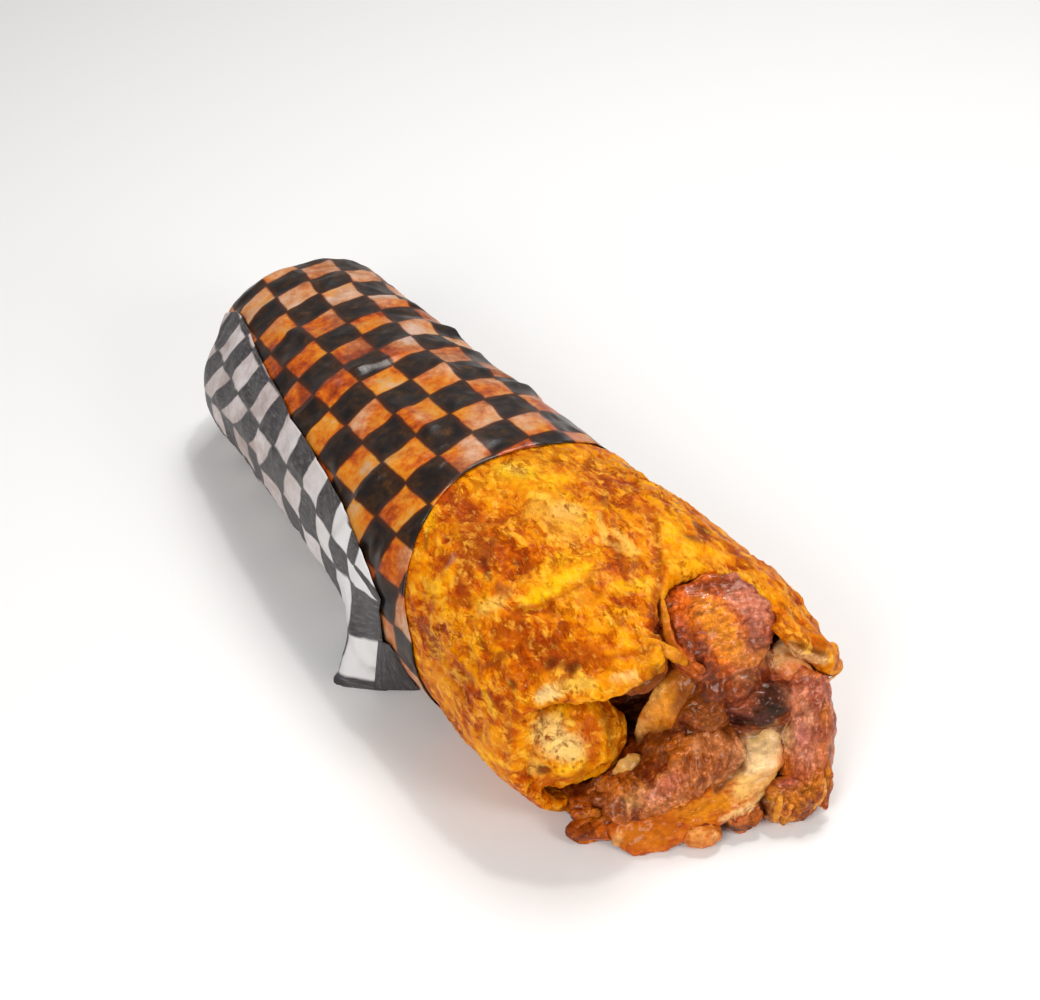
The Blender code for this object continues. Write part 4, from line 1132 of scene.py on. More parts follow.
# %% Griddled tortilla: from tone to colour
TONE_SHARES = [
    (broad, 0.42), (flecks, 0.66), (plate, 0.10), (relief_light_and_shade, 1.0), (crack, 1.0),
    (brown, -0.08), (yellow, 0.06), (flake, 0.10),
]
tone = 0.20
for part, share in TONE_SHARES:
    tone = add(tree, "Math", {0: part, 1: share, 2: tone}, operation="MULTIPLY_ADD")
bread = add(tree, "ValToRGB", {"Fac": tone}, stops=[
    (0.64, "8E2E00"), (0.71, "AC4400"), (0.78, "C86000"), (0.84, "DA7A00"), (0.90, "E08600"),
    (0.985, "E89402")])
light_tone = add(tree, "Math", {0: tone, 1: -0.5}, operation="ADD")
light_bread = add(tree, "ValToRGB", {"Fac": light_tone}, stops=[
    (0.46, "E89402"), (0.54, "F2A806"), (0.62, "F8B81A"), (0.74, "F4C456"), (0.88, "F2D08C")])
is_light = add(tree, "Math", {0: tone, 1: 0.97}, operation="GREATER_THAN")
bread = add(tree, "Mix", {0: is_light, 6: bread, 7: light_bread}, out=2, data_type="RGBA")
bread = stained(tree, bread, flecks, 0.8, 0.3)
print("bread coloured with", len(TONE_SHARES), "patterns and marks")

# %% [markdown]
# Thin curls run over the patches, brown ones where the bread is dark and pale ones where dry flakes
# have lifted. Noise passes its middle value along winding lines, so the distance from that value
# draws them, and the flecks break them up.


# %% Griddled tortilla: curls and crumbs
def curls(tree, place, scale, detail, rough, winding, width, strength):
    """Thin winding lines, where a noise is near its middle value."""
    lines = add(tree, "TexNoise", {
        "Vector": place, "Scale": scale, "Detail": detail, "Roughness": rough, "Distortion": winding})
    lines = add(tree, "Math", {0: lines, 1: 0.5}, operation="SUBTRACT")
    lines = add(tree, "Math", {0: lines}, operation="ABSOLUTE")
    return add(tree, "MapRange", {0: lines, 1: width, 2: 0.0, 4: strength}, interpolation_type="SMOOTHSTEP")


brown_curl = curls(tree, stretched, 120.0, 4.0, 0.6, 0.4, 0.06, 1.0)
curl_share = add(tree, "MapRange", {0: broad, 1: 0.62, 2: 0.40, 4: 0.9})
torn_low = add(tree, "MapRange", {0: flecks, 1: 0.56, 2: 0.44}, interpolation_type="SMOOTHSTEP")
curl_share = add(tree, "Math", {0: curl_share, 1: torn_low}, operation="MULTIPLY")
brown_curl = add(tree, "Math", {0: brown_curl, 1: curl_share}, operation="MULTIPLY")
bread = add(tree, "Mix", {0: brown_curl, 6: bread, 7: linear("A84800")}, out=2, data_type="RGBA")
pale_curl = curls(tree, stretched, 150.0, 3.0, 0.5, 0.5, 0.10, 0.5)
torn_high = add(tree, "MapRange", {0: flecks, 1: 0.48, 2: 0.62}, interpolation_type="SMOOTHSTEP")
pale_curl = add(tree, "Math", {0: pale_curl, 1: torn_high}, operation="MULTIPLY")
bread = add(tree, "Mix", {0: pale_curl, 6: bread, 7: linear("FFC040")}, out=2, data_type="RGBA")
crumbs = add(tree, "TexNoise", {"Vector": stretched, "Scale": 620.0, "Detail": 3.0, "Roughness": 0.6})
crumb = add(tree, "MapRange", {0: crumbs, 1: 0.58, 2: 0.70, 4: 0.35}, interpolation_type="SMOOTHSTEP")
bread = add(tree, "Mix", {0: crumb, 6: bread, 7: linear("F8C050")}, out=2, data_type="RGBA")
print("curls and crumbs laid over it:", len(tree.nodes), "nodes")

# %% [markdown]
# Last come the small dark pits of the dry, pale places and the burnt specks. What is crumb, pit or
# crack in the colour is a bump in the same place, and a thin film of oil gives a soft gloss.

# %% Griddled tortilla: pits, burns and gloss
pits = add(tree, "TexVoronoi", {"Vector": stretched, "Scale": 560.0})
pit = add(tree, "MapRange", {0: pits, 1: 0.34, 2: 0.14}, interpolation_type="SMOOTHSTEP")
pit = add(tree, "Math", {0: pit, 1: flake}, operation="MULTIPLY")
pit_dark = add(tree, "Math", {0: pit, 1: 0.7}, operation="MULTIPLY")
bread = add(tree, "Mix", {0: pit_dark, 6: bread, 7: linear("8A4204")}, out=2, data_type="RGBA")
burnt_edge = add(tree, "Math", {0: burnt, 1: flecks}, operation="MULTIPLY")
burnt_mask = add(tree, "MapRange", {
    0: burnt_edge, 1: 0.22, 2: 0.50, 4: 0.8}, interpolation_type="SMOOTHSTEP")
bread = add(tree, "Mix", {0: burnt_mask, 6: bread, 7: linear("5A1C04")}, out=2, data_type="RGBA")
grain = flecks
for part, share in ((plate, 0.25), (crumb, 0.3), (crack, 1.5), (pit, -0.6), (brown_curl, -0.7)):
    grain = add(tree, "Math", {0: part, 1: share, 2: grain}, operation="MULTIPLY_ADD")
bump = add(tree, "Bump", {"Height": grain, "Strength": 0.7, "Distance": 0.0013})
rough = add(tree, "MapRange", {0: flecks, 1: 0.3, 2: 0.7, 3: 0.34, 4: 0.56})
surface = add(tree, "BsdfPrincipled", {
    "Base Color": bread, "Roughness": rough, "Normal": bump, "IOR": 1.45,
    "Specular IOR Level": 0.24, "Specular Tint": linear("FFB450"), "Coat Weight": 0.03,
    "Coat Roughness": 0.15, "Subsurface Weight": 0.10, "Subsurface Scale": 0.003,
    "Subsurface Radius": (1.0, 0.45, 0.12)})
add(tree, "OutputMaterial", {"Surface": surface})
flatbread.data.materials.append(griddled)
print("tortilla finish:", len(tree.nodes), "nodes")

# %% [markdown]
# ## The filling
# Braised beef is bundles of fibre held in dark sauce; fried onion is smooth, wet and translucent.
# Every slice starts from its CAD copy, remeshed finely. The absolute value of noise drops to a sharp
# valley wherever the noise crosses zero, which is just how bundles of fibre meet, so it is drawn out
# along the fibres and raised. For that, each piece has a turn that lays its own length on to X.

# %% Fibrous relief
# Turn of each piece about X, Y and Z, in degrees.
TURNS = {
    "round_slice": (42, -4, -18), "charred_chunk": (25, 10, -20), "onion_strip": (0, 80, 0),
    "pale_slice": (26, 18, -24), "right_slice": (-26, 107, 0), "long_strip": (0, 0, -8),
    "ribbed_slice": (32, -20, 78), "brown_chunk": (20, 8, 10), "cream_bit": (20, 0, -15),
    "front_bit": (0, 0, -30), "right_bit": (0, 0, 20), "shred_bundle": (0, 0, -60),
    "left_tip": (0, 0, 15),
}
UNTURNED = (0, 0, 0)


def into_own_frame(node):
    """Matrix that turns a place into a piece's own frame."""
    return Euler([math.radians(angle) for angle in TURNS[node]]).to_matrix().transposed()


def slice_piece(node, name, cell, fibre, depth, lumps, extra=None, strokes=STROKES):
    """Remesh a copy of a node, raise bundles of fibre along its own length, and brush it."""
    piece = copy_of(node, name)
    modify(piece, "REMESH", mode="VOXEL", voxel_size=cell * MM)
    modify(piece, "SMOOTH", factor=0.5, iterations=8)
    turned = into_own_frame(node)
    seed = Vector((len(name) * 3.1, len(node) * 1.7, cell * 9))

    def height(point, normal):
        local = turned @ point
        wavy = local + Vector((0, noise.noise(local * 0.14 + seed), noise.noise(local * 0.14 - seed))) * 2
        drawn = Vector((wavy.x * 0.20, wavy.y, wavy.z)) / fibre
        rise = (abs(noise.noise(drawn * 0.5 + seed)) - 0.22) * depth * 2.2
        rise += (abs(noise.noise(drawn * 1.1 - seed)) - 0.22) * depth
        rise += noise.noise(local * 0.13 + seed) * lumps + noise.noise(local * 0.5 - seed) * 0.25
        if extra:
            rise += extra(point, local)
        return rise + 0.4

    sculpt(piece, height)
    stains_and_painted_light(piece, strokes)
    bpy.ops.object.shade_smooth()
    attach(piece, "root")
    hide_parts(node)
    print(name, len(piece.data.polygons), "faces")
    return piece


# %% [markdown]
# ### Sauced meat as a finish
# One recipe serves all the meat and onion: fibre noise picks a colour from the piece's own ramp, the
# hollows of the relief are darkened with the sauce colour as sauce and as painted shade, a slow noise
# pools darker sauce in patches, pale specks lighten it as painted glints, and a coat gives the wet
# shine. A fade along one direction lets a slice be orange at one end and cream or purple at the
# other. The strokes of the mouth lie over the ramps with ragged edges, and sauce, painted shade and
# painted glints lie over the strokes.


# %% Recipe for sauced food
def sauced(name, ramp, fibre, pose, fade=None, second=None, sauce="5A1A03", hollow_sauce_and_shade=0.75,
           glint_colour="E8B088", glint_share=0.3, wet=0.3, depth=0.7):
    """Glazed food: fibre colours, a fade to second colours, sauce and painted shade in the hollows, pools
    of sauce, painted glints and shine.
    """
    material, tree = new_material(name)
    place = add(tree, "TexCoord", out="Object")
    # Fibres along the piece's own length, and broader spots, pick the colour.
    angles = [math.radians(angle) for angle in pose]
    own = add(tree, "Mapping", {"Vector": place, "Rotation": angles}, vector_type="TEXTURE")
    drawn = add(tree, "Mapping", {"Vector": own, "Scale": (0.38, 1.0, 1.0)})
    strands = add(tree, "TexNoise", {
        "Vector": drawn, "Scale": 900 / fibre, "Detail": 5.0, "Roughness": 0.68, "Distortion": 0.8})
    spots = add(tree, "TexNoise", {"Vector": place, "Scale": 200.0, "Detail": 4.0, "Roughness": 0.65})
    tone = add(tree, "Math", {0: strands, 1: spots}, operation="ADD")
    tone = add(tree, "Math", {0: tone, 1: 0.5}, operation="MULTIPLY")
    colour = add(tree, "ValToRGB", {"Fac": tone}, stops=ramp)
    if fade:
        direction, start, end = fade
        along = add(tree, "VectorMath", {0: place, 1: direction}, out="Value", operation="DOT_PRODUCT")
        ragged = add(tree, "Math", {0: spots, 1: -0.5}, operation="ADD")
        along = add(tree, "Math", {0: ragged, 1: 0.016, 2: along}, operation="MULTIPLY_ADD")
        share = add(tree, "MapRange", {
            0: along, 1: start * MM, 2: end * MM}, interpolation_type="SMOOTHSTEP")
        other = add(tree, "ValToRGB", {"Fac": tone}, stops=second)
        colour = add(tree, "Mix", {0: share, 6: colour, 7: other}, out=2, data_type="RGBA")
    colour = stained(tree, colour, tone, 0.9, 0.3 + 0.3 * depth, 3.4)
    # Sauce and painted shade darken the hollows of the relief, and sauce pools in slow patches.
    relief = add(tree, "Attribute", out="Fac", attribute_name="relief")
    hollow = add(tree, "MapRange", {
        0: relief, 1: 0.35, 2: -0.75, 4: hollow_sauce_and_shade}, interpolation_type="SMOOTHSTEP")
    colour = add(tree, "Mix", {0: hollow, 6: colour, 7: linear(sauce)}, out=2, data_type="RGBA")
    pools = add(tree, "TexNoise", {"Vector": place, "Scale": 240.0, "Detail": 5.0, "Roughness": 0.7})
    pool = add(tree, "MapRange", {
        0: pools, 1: 0.50, 2: 0.74, 4: 0.5}, interpolation_type="SMOOTHSTEP")
    colour = add(tree, "Mix", {0: pool, 6: colour, 7: linear(sauce)}, out=2, data_type="RGBA")
    # Painted glints lie on top as pale specks, and a grain makes it all lighter and darker.
    grit = add(tree, "TexNoise", {"Vector": place, "Scale": 700.0, "Detail": 3.0, "Roughness": 0.7})
    painted_glints = add(tree, "MapRange", {
        0: grit, 1: 0.56, 2: 0.70, 4: glint_share}, interpolation_type="SMOOTHSTEP")
    colour = add(tree, "Mix", {0: painted_glints, 6: colour, 7: linear(glint_colour)}, out=2, data_type="RGBA")
    grain = add(tree, "MapRange", {0: grit, 1: 0.38, 2: 0.62, 3: 1 - 0.42 * depth, 4: 1 + 0.5 * depth})
    colour = add(tree, "VectorMath", {0: colour, "Scale": grain}, operation="SCALE")
    # Fibres and grit are bumps as well, under a wet coat.
    bump = add(tree, "Bump", {"Height": strands, "Strength": 0.9, "Distance": depth * MM})
    bump = add(tree, "Bump", {"Height": grit, "Strength": 0.35, "Distance": 0.0005, "Normal": bump})
    surface = add(tree, "BsdfPrincipled", {
        "Base Color": colour, "Roughness": 0.30, "Normal": bump, "IOR": 1.42,
        "Specular IOR Level": 0.3, "Specular Tint": linear("FFC080"),
        "Coat Weight": wet * 0.8, "Coat Roughness": 0.10,
        "Subsurface Weight": 0.12, "Subsurface Scale": 0.002, "Subsurface Radius": (1.0, 0.35, 0.12)})
    add(tree, "OutputMaterial", {"Surface": surface})
    return material


# %% [markdown]
# ### The slices one by one
# Each slice gets the grain, the ramp and the fade of its real counterpart. The round one is also
# domed in the middle, with a curled ring round it, and the ribbed one has ribs across its length.

# %% Round slice
DISC = into_own_frame("round_slice")
DISC_CENTRE = Vector((22.5, -103, 45))


def disc_form(point, local):
    """Domed middle of the round slice, and the groove between it and the curled ring on its left."""
    flat = DISC @ (point - DISC_CENTRE)
    if flat.z < 0:
        return 0.0
    out = math.hypot((flat.x - 1) / 12.5, flat.y / 15.5)
    ring = 0.7 * smooth_step(8, -2, flat.x)
    return 0.9 * math.exp(-(out / 0.5) ** 2) - ring * math.exp(-((out - 0.70) / 0.14) ** 2)


round_beef = slice_piece("round_slice", "round_beef_slice", 0.45, 2.4, 0.7, 1.5, disc_form)
round_beef.data.materials.append(sauced(
    "braised_beef_round", [(0.36, "7A2408"), (0.46, "B8501A"), (0.54, "CC6418"), (0.64, "E08A34")],
    2.0, TURNS["round_slice"], fade=((0.94, -0.2, 0.3), 59, 64),
    second=[(0.36, "6E2A1C"), (0.46, "A04E38"), (0.55, "B8684C"), (0.66, "D09478")],
    glint_colour="E0A080", glint_share=0.25))

# %% Charred, right and brown pieces
charred = slice_piece(
    "charred_chunk", "charred_beef_chunk", 0.45, 2.6, 0.8, 1.2, strokes=STROKES + CHAR_STROKES)
charred.data.materials.append(sauced(
    "charred_beef", [(0.36, "120402"), (0.46, "2C0E0C"), (0.55, "48201A"), (0.66, "7A4034")],
    2.0, TURNS["charred_chunk"], sauce="220602", glint_colour="B08070", glint_share=0.4))

right = slice_piece("right_slice", "right_beef_slice", 0.45, 2.6, 0.8, 0.9)
right.data.materials.append(sauced(
    "braised_beef_edge", [(0.36, "6E2A14"), (0.46, "A04E34"), (0.55, "B4624A"), (0.66, "D08E74")],
    1.8, TURNS["right_slice"], fade=((0, 0, -1), -22, -8),
    second=[(0.36, "6E2606"), (0.46, "AE4C0C"), (0.55, "C46C1C"), (0.66, "DE9A48")],
    glint_colour="E0A48A", glint_share=0.35))

brown_beef = slice_piece("brown_chunk", "brown_beef_chunk", 0.45, 3.0, 0.6, 1.0)
brown_beef.data.materials.append(sauced(
    "braised_beef_brown", [(0.36, "4E1A06"), (0.46, "7E3410"), (0.55, "9E4E16"), (0.66, "BC742E")],
    2.4, TURNS["brown_chunk"], glint_share=0.12))

# %% Ribbed slice
RIBBED_BACK = Vector((-4, -112, 21.5))    # middle of the hollow in its back


def ribs(point, local):
    """Soft ribs across the slice, and the hollow at its back."""
    rib = 0.35 * math.sin(local.y * 1.9 + noise.noise(local * 0.2) * 3)
    return rib - 2.0 * math.exp(-((point - RIBBED_BACK).length / 6) ** 4)


ribbed = slice_piece("ribbed_slice", "ribbed_beef_slice", 0.45, 2.4, 0.5, 0.8, ribs)
ribbed.data.materials.append(sauced(
    "braised_beef_ribbed", [(0.36, "6A2806"), (0.46, "984812"), (0.55, "B06430"), (0.66, "CC8E64")],
    1.9, TURNS["ribbed_slice"], glint_colour="E2AC88", glint_share=0.3))

# %% Onion and crisp edges
onion = slice_piece("onion_strip", "onion_strip_front", 0.4, 2.0, 0.2, 0.5)
onion.data.materials.append(sauced(
    "fried_onion", [(0.36, "A04E0A"), (0.46, "C66C14"), (0.56, "D88826"), (0.68, "E6AC5C")],
    1.8, TURNS["onion_strip"], fade=((-1, -0.3, 0), 29, 34),
    second=[(0.36, "C87C26"), (0.5, "E2A658"), (0.66, "F0C484")],
    hollow_sauce_and_shade=0.25, glint_share=0.15, depth=0.25))

pale_beef = slice_piece("pale_slice", "pale_onion_slice", 0.4, 2.4, 0.4, 0.6)
pale_beef.data.materials.append(sauced(
    "fried_onion_pale", [(0.36, "C46A2A"), (0.46, "DC9850"), (0.56, "E8B478"), (0.68, "F2D0A2")],
    2.0, TURNS["pale_slice"], hollow_sauce_and_shade=0.25, glint_share=0.2, depth=0.25))

long_piece = slice_piece("long_strip", "long_beef_strip", 0.45, 2.6, 0.5, 0.8)
long_piece.data.materials.append(sauced(
    "braised_strip", [(0.36, "8C3402"), (0.46, "B85004"), (0.56, "CC6C0A"), (0.68, "E09228")],
    2.1, TURNS["long_strip"], fade=((1, 0, 0.4), 10, 26),
    second=[(0.36, "CC7E2E"), (0.48, "E4A85A"), (0.6, "EFC688")],
    hollow_sauce_and_shade=0.3, glint_share=0.06, depth=0.25))

# %% Small bits
cream = slice_piece("cream_bit", "cream_onion_bit", 0.35, 2.4, 0.2, 0.4)
cream.data.materials.append(sauced(
    "onion_cream", [(0.36, "C07E2E"), (0.5, "DAA854"), (0.66, "EAC682")],
    2.0, TURNS["cream_bit"], hollow_sauce_and_shade=0.3, depth=0.25))

front = slice_piece("front_bit", "front_onion_bit", 0.35, 2.0, 0.5, 0.4)
front.data.materials.append(sauced(
    "onion_orange", [(0.36, "8E3E08"), (0.5, "C86C1C"), (0.66, "E8A860")],
    1.8, TURNS["front_bit"], hollow_sauce_and_shade=0.3, depth=0.25))

right_crumb = slice_piece("right_bit", "right_beef_bit", 0.35, 2.0, 0.6, 0.5)
right_crumb.data.materials.append(sauced(
    "braised_bit", [(0.36, "8A320C"), (0.5, "BE5E1C"), (0.66, "E0A058")],
    1.6, TURNS["right_bit"], hollow_sauce_and_shade=0.4, glint_share=0.1))

bundle = slice_piece("shred_bundle", "shredded_beef_bundle", 0.35, 2.2, 1.1, 0.9)
bundle.data.materials.append(sauced(
    "shredded_beef", [(0.36, "4E1604"), (0.48, "944410"), (0.62, "CC8030")],
    1.5, TURNS["shred_bundle"], hollow_sauce_and_shade=0.5, glint_share=0.1))


def tip_form(point, local):
    """The tip is thinned towards its far left and on top."""
    return -1.8 * smooth_step(-20, -28, point.x) - 0.6 * smooth_step(4, 8, point.z)


tip = slice_piece("left_tip", "left_beef_tip", 0.35, 2.2, 0.7, 0.8, tip_form)
tip.data.materials.append(sauced(
    "sauced_tip", [(0.36, "722A04"), (0.48, "A44A08"), (0.62, "CC7818")],
    1.8, TURNS["left_tip"], hollow_sauce_and_shade=0.4, glint_share=0.08))

# %% [markdown]
# ### The saucy mass behind the slices
# Behind and under the slices lies a dark, wet heap of shreds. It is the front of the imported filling,
# so its copy keeps that form. Only the heap at the mouth shows, and the hidden core is thinned out.

# %% Saucy heap
filling = copy_of("beef_filling", "packed_filling")
modify(filling, "REMESH", mode="VOXEL", voxel_size=0.8 * MM)
CORE = -80             # the filling is hidden from this place on
core = filling.vertex_groups.new(name="core")
in_core = [vert.index for vert in filling.data.vertices if vert.co.y > CORE * MM]
core.add(in_core, 1.0, "REPLACE")
modify(filling, "DECIMATE", ratio=0.35, vertex_group="core", vertex_group_factor=1000.0)
modify(filling, "SMOOTH", factor=0.5, iterations=8)
filling.vertex_groups.clear()


def heap_height(point, normal):
    """Lumpy shreds of the saucy heap."""
    if point.y > CORE + 2:
        return 0.0
    drawn = Vector((point.x * 0.35, point.y * 0.5, point.z)) * 0.42
    bundles = (abs(noise.noise(drawn)) - 0.2) * 2.4 + (abs(noise.noise(drawn * 2.3)) - 0.2) * 1.0
    return bundles + noise.noise(point * 0.12) * 0.7 + 0.3


sculpt(filling, heap_height)
bpy.ops.object.shade_smooth()
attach(filling, "root")
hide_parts("beef_filling")
in_sauce = sauced(
    "beef_in_sauce", [(0.36, "4A1404"), (0.46, "742606"), (0.55, "9A440C"), (0.66, "C0691C")],
    2.4, UNTURNED, sauce="3A0E02", hollow_sauce_and_shade=0.7, glint_colour="D88A50", glint_share=0.15)
stains_and_painted_light(filling)
filling.data.materials.append(in_sauce)
print("filling", len(filling.data.polygons), "faces")

# %% [markdown]
# ### Sauce in the crevices
# Sauce runs into every gap and rounds it off, but leaves the crests of the meat bare. That shape
# comes from joining copies of all the pieces, turning them into one skin with a remesh and smoothing
# it hard: the crests sink below the real pieces, and the valleys fill up.

# %% Pooled sauce
# Scraps of meat that tie the slices together: where each lies and its half sizes.
SAUCE_LUMPS = [
    ((31, -110, 35), (4.5, 3.5, 4.5)), ((27, -113.5, 36), (4.5, 3.0, 4.0)),
    ((15.5, -110, 39), (2.8, 2.6, 6.5)), ((14.5, -112, 33), (3.2, 3.0, 4.5)),
    ((22, -115.5, 34), (5.5, 4.0, 5.0)), ((23, -117, 22), (5.5, 3.5, 4.5)),
    ((-1, -109, 20), (3.8, 3.2, 3.6)), ((2, -112, 22), (3.6, 3.0, 3.2)),
    ((-19, -113, 4.2), (7.0, 2.8, 2.6)), ((33, -119, 30), (3.2, 2.6, 3.6)),
    ((-17, -110, 12), (4.0, 3.4, 3.2)),
]
sauce_pool = copy_of("beef_filling", "pooled_sauce")
bpy.ops.object.mode_set(mode="EDIT")
bpy.ops.mesh.select_all(action="SELECT")
bpy.ops.mesh.bisect(
    plane_co=(0, -94 * MM, 0), plane_no=(0.3, 1, 0), use_fill=True, clear_outer=True)
bpy.ops.object.mode_set(mode="OBJECT")
copies = [copy_of(node, "crevice_" + node) for node in TURNS]
lumps = [ball(centre, size, 24, 16) for centre, size in SAUCE_LUMPS]
merge(copies + lumps, sauce_pool)
modify(sauce_pool, "REMESH", mode="VOXEL", voxel_size=0.8 * MM)
modify(sauce_pool, "SMOOTH", factor=0.5, iterations=26)


def sauce_height(point, normal):
    """Small waves of the sauce, which lies a little deeper than the smoothed pieces."""
    return noise.noise(point * 0.35) * 0.35 + noise.noise(point * 0.9) * 0.15 - 0.45


sculpt(sauce_pool, sauce_height)
stains_and_painted_light(sauce_pool, STROKES + CHAR_STROKES)
bpy.ops.object.shade_smooth()
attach(sauce_pool, "root")
sauce_pool.data.materials.clear()
sauce_pool.data.materials.append(sauced(
    "braising_sauce", [(0.36, "5A1A04"), (0.46, "8A3006"), (0.55, "A8480A"), (0.66, "C8701C")],
    2.6, UNTURNED, sauce="481204", hollow_sauce_and_shade=0.6, glint_colour="D88A50", wet=0.4, depth=0.8, glint_share=0.2))
print("sauce", len(sauce_pool.data.polygons), "faces")

# %% [markdown]
# ### Torn strands and shreds
# Between the big pieces lie dozens of small ones: fibres pulled off the beef, slivers of onion, and
# at the lip the flaps and the rim of torn bread. One ball with its poles on X is the start of them
# all. Each copy is drawn out along a path, flattened and tapered; shreds of one kind are joined to
# one piece.

# %% Drawing a strand along a path
bpy.ops.object.select_all(action="DESELECT")
bpy.ops.mesh.primitive_uv_sphere_add(segments=14, ring_count=22, radius=1, rotation=(0, math.pi / 2, 0))
seed_strand = bpy.context.active_object
bpy.ops.object.transform_apply(location=False, rotation=True, scale=False)


def strand(path, width, thickness, facing):
    """A copy of the ball drawn along a path in millimetres; facing is its flat side's normal."""
    piece = seed_strand.copy()
    piece.data = seed_strand.data.copy()
    bpy.context.scene.collection.objects.link(piece)
    sides = [[(k, point[axis]) for k, point in enumerate(path)] for axis in range(3)]
    last = len(path) - 1
    for vert in piece.data.vertices:
        share = (vert.co.x + 1) / 2 * last
        here = Vector([through(side, share) for side in sides])
        ahead = Vector([through(side, min(share + 0.05, last)) for side in sides])
        behind = Vector([through(side, max(share - 0.05, 0)) for side in sides])
        along = (ahead - behind).normalized()
        across = along.cross(facing).normalized()
        out = across.cross(along)
        rough = 1 + 0.35 * noise.noise(here * 0.7 + Vector((width, 0, 0)))
        aside = across * vert.co.y * width / 2 * rough
        vert.co = (here + aside + out * vert.co.z * thickness / 2 * rough) * MM
    return piece


def joined(pieces, name, material):
    """Join strands to one named, stained and finished piece."""
    whole = pieces[0]
    merge(pieces[1:], whole)
    whole.name = name
    only(whole)
    bpy.ops.object.shade_smooth()
    stains_and_painted_light(whole)
    whole.data.materials.append(material)
    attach(whole, "root")
    print(name, len(pieces), "strands,", len(whole.data.polygons), "faces")


# %% Shreds along their guides
TOWARDS_MOUTH = Vector((-0.35, -0.75, 0.55))
# Where shreds gather: start and end of their run, spread, how many, and width.
MEAT_GUIDES = [
    ((0, -113.5, 23), (5, -115, 24.5), 1.4, 4, 2.6), ((-13, -112.5, 15), (-7, -115, 17), 1.2, 5, 2.4),
    ((-18, -108, 12), (-11, -112, 15), 2.0, 8, 3.0), ((-24, -106, 8), (-17, -111, 8), 1.4, 5, 3.0),
    ((9, -112, 30), (14, -117, 26), 2.2, 5, 3.0), ((27, -136.5, 2), (29, -134, 12), 1.6, 5, 2.6),
    ((22, -134, 2), (23, -132.5, 10), 0.9, 4, 2.2), ((12, -130, 3), (17, -131, 7), 1.4, 4, 2.4),
    ((31, -137, 3), (35, -134, 16), 1.4, 5, 3.0), ((33, -136.5, 4), (36, -132.5, 19), 0.8, 2, 3.0),
    ((10, -108, 44.5), (14.5, -112, 40.5), 0.5, 2, 2.0),
]
ONION_GUIDES = [
    ((30, -137, 3), (34, -134.5, 14), 1.2, 3, 2.4), ((20, -134, 2.5), (21, -133, 10), 0.8, 2, 2.4),
    ((-14, -110, 13), (-7, -114, 16), 1.6, 4, 2.4),
]
END_SCATTER = 0.8      # how far the ends of a shred stray from its run
SHRED_TURN = (0, 0, 20)    # their fibres lie nearly along X
chance = random.Random(7)


def along_guides(guides):
    """Strands scattered about the runs of a table."""
    strands = []
    for start, end, spread, count, width in guides:
        for _ in range(count):
            shift = Vector([chance.gauss(0, spread / 2) for _ in range(3)])
            shift -= TOWARDS_MOUTH * min(shift.dot(TOWARDS_MOUTH) + 0.4, 0)
            first = Vector(start) + shift + Vector([chance.gauss(0, END_SCATTER) for _ in range(3)])
            last = Vector(end) + shift + Vector([chance.gauss(0, END_SCATTER) for _ in range(3)])
            cut = chance.uniform(0.0, 0.3)
            first, last = first.lerp(last, cut), last.lerp(first, chance.uniform(0.0, 0.3))
            middle = (first + last) / 2 + TOWARDS_MOUTH * chance.uniform(-0.4, 0.9)
            size = width * chance.uniform(0.7, 1.3)
            path = [first, middle, last]
            for point in path:
                point.z = max(point.z, size * 0.4)
            strands.append(strand(path, size, size * chance.uniform(0.45, 0.7), TOWARDS_MOUTH))
    return strands


joined(along_guides(MEAT_GUIDES), "beef_shreds", sauced(
    "braised_shreds", [(0.36, "6A2404"), (0.46, "9A4208"), (0.55, "B85E14"), (0.66, "D08A3C")],
    1.4, SHRED_TURN, hollow_sauce_and_shade=0.3, glint_share=0.12))
joined(along_guides(ONION_GUIDES), "onion_shreds", sauced(
    "amber_onion_shreds", [(0.36, "B05C0A"), (0.46, "CC7C18"), (0.55, "DC9838"), (0.66, "E8B468")],
    1.6, SHRED_TURN, hollow_sauce_and_shade=0.2, depth=0.3))

# %% [markdown]
# Six strands are laid one by one: two flaps and the rim of torn bread by the lip, the end of an onion
# piece in the hollow, and two folds of the inner layer of bread under the lip, dark from soaking and
# from painted shade.

# %% Strands laid by hand
torn = [
    strand([(-2, -105.5, 54.6), (2, -108.8, 52.4), (6, -110, 48.5), (9.8, -109, 43)],
           3.4, 1.1, TOWARDS_MOUTH),
    strand([(10.5, -96.5, 56), (9.5, -99.5, 51.5), (9, -102.5, 47), (10, -106, 43.5), (12.5, -109, 41)],
           2.6, 1.2, TOWARDS_MOUTH),
    strand([(-5, -109, 52.8), (-2, -112, 50.5), (1.5, -111.5, 47.5)], 3.6, 1.0, TOWARDS_MOUTH),
]
joined(torn, "torn_bread", sauced(
    "torn_bread_edge", [(0.36, "B45A04"), (0.46, "D07A08"), (0.55, "E49414"), (0.66, "F0B040")],
    1.6, UNTURNED, hollow_sauce_and_shade=0.2, depth=0.3, wet=0.1))
onion_end = [
    strand([(-12, -108.5, 14), (-8.5, -109.5, 17.5), (-4, -108.5, 18.5)], 5.6, 3.4, TOWARDS_MOUTH),
]
joined(onion_end, "cream_onion_end", bpy.data.materials["onion_cream"])
inner = [
    strand([(-12, -108, 45.5), (-6, -111, 46), (0, -110, 46.5), (6, -105, 45)], 5.5, 1.4, TOWARDS_MOUTH),
    strand([(-6, -109, 43), (0, -108, 43), (6, -104, 42)], 4.0, 1.2, TOWARDS_MOUTH),
]
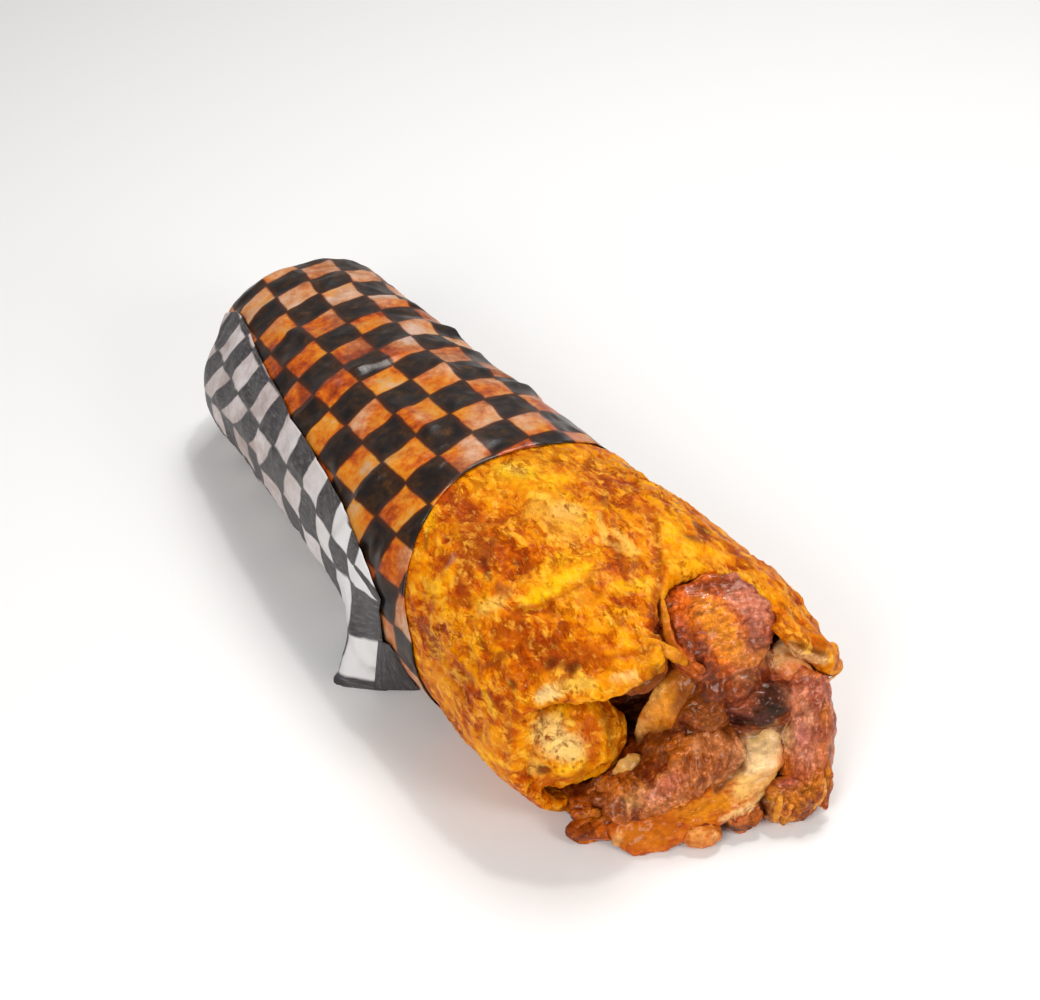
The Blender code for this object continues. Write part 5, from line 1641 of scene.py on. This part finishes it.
# Its dark ramp is partly soaking and partly painted shade under the lip.
joined(inner, "inner_layer", sauced(
    "soaked_and_shaded_inner_layer", [(0.36, "5A2204"), (0.46, "7E3806"), (0.55, "A0540C"), (0.66, "B87424")],
    2.0, UNTURNED, hollow_sauce_and_shade=0.3, depth=0.3, wet=0.2))
bpy.data.objects.remove(seed_strand)

# %% [markdown]
# ## Table, light and camera
# The wrap lies on a plain pale table. A large soft lamp from the upper right and behind is the key,
# and a small one beside it puts glints on oil and sauce. A large one from the left and one from the
# front right fill the shadows, and a pale world closes them. The camera stands where the
# photographer did: a little left of the roll's line, looking down at 37 degrees with the roll's
# mouth towards it, and tilted a few degrees.

# %% Pale floor
bpy.ops.object.select_all(action="DESELECT")
bpy.ops.mesh.primitive_plane_add(size=6, location=(0, 0, 0))
floor = bpy.context.active_object
floor.name = "floor"
table_top, tree = new_material("matt_pale_table")
surface = add(tree, "BsdfPrincipled", {"Base Color": linear("EDEBE8"), "Roughness": 0.6})
add(tree, "OutputMaterial", {"Surface": surface})
floor.data.materials.append(table_top)

# %% Soft studio light
scene = bpy.context.scene
scene.view_settings.view_transform = "Standard"
world = bpy.data.worlds.new("pale_room")
scene.world = world
world.use_nodes = True
world.node_tree.nodes["Background"].inputs["Color"].default_value = linear("F4F5F8")
world.node_tree.nodes["Background"].inputs["Strength"].default_value = 0.32
# Each lamp: name, place and size in metres, and power in watts. All aim at the bare tortilla.
LAMPS = [
    ("key", (0.35, 0.20, 0.80), 0.35, 4.15), ("glint", (0.25, 0.05, 0.80), 0.05, 1.1),
    ("fill", (-0.6, -0.45, 0.5), 0.40, 4.2), ("front", (0.25, -0.8, 0.45), 0.30, 2.8),
]
AIM = Vector((0.0, -0.03, 0.03))
for name, where, size, power in LAMPS:
    lamp = bpy.data.lights.new(name, "AREA")
    lamp.size = size
    lamp.energy = power
    holder = bpy.data.objects.new(name, lamp)
    scene.collection.objects.link(holder)
    holder.location = where
    holder.rotation_euler = (AIM - Vector(where)).to_track_quat("-Z", "Y").to_euler()
print("lit by", len(LAMPS), "lamps and a pale room")

# %% Camera
AZIMUTH = math.radians(-27.33)
ELEVATION = math.radians(37.42)
ROLL_ANGLE = math.radians(-3.73)
CAMERA_PLACE = Vector((-0.1942, -0.4190, 0.3804))
FOCAL_PIXELS = 2000    # focal length in pixels of the picture
PICTURE_WIDTH = 1040
SENSOR = 36
back = Vector((
    math.sin(AZIMUTH) * math.cos(ELEVATION), -math.cos(AZIMUTH) * math.cos(ELEVATION),
    math.sin(ELEVATION)))
side = (-back).cross(Vector((0, 0, 1))).normalized()
above = side.cross(-back)
turned_side = side * math.cos(ROLL_ANGLE) + above * math.sin(ROLL_ANGLE)
turned_above = -side * math.sin(ROLL_ANGLE) + above * math.cos(ROLL_ANGLE)
lens = bpy.data.cameras.new("camera")
lens.sensor_width = SENSOR
lens.lens = FOCAL_PIXELS / PICTURE_WIDTH * SENSOR
camera = bpy.data.objects.new("camera", lens)
scene.collection.objects.link(camera)
pose = Matrix((turned_side, turned_above, back)).transposed().to_4x4()
pose.translation = CAMERA_PLACE
camera.matrix_world = pose
scene.camera = camera
print("camera", [round(value, 3) for value in CAMERA_PLACE], "lens", round(lens.lens, 1), "mm")
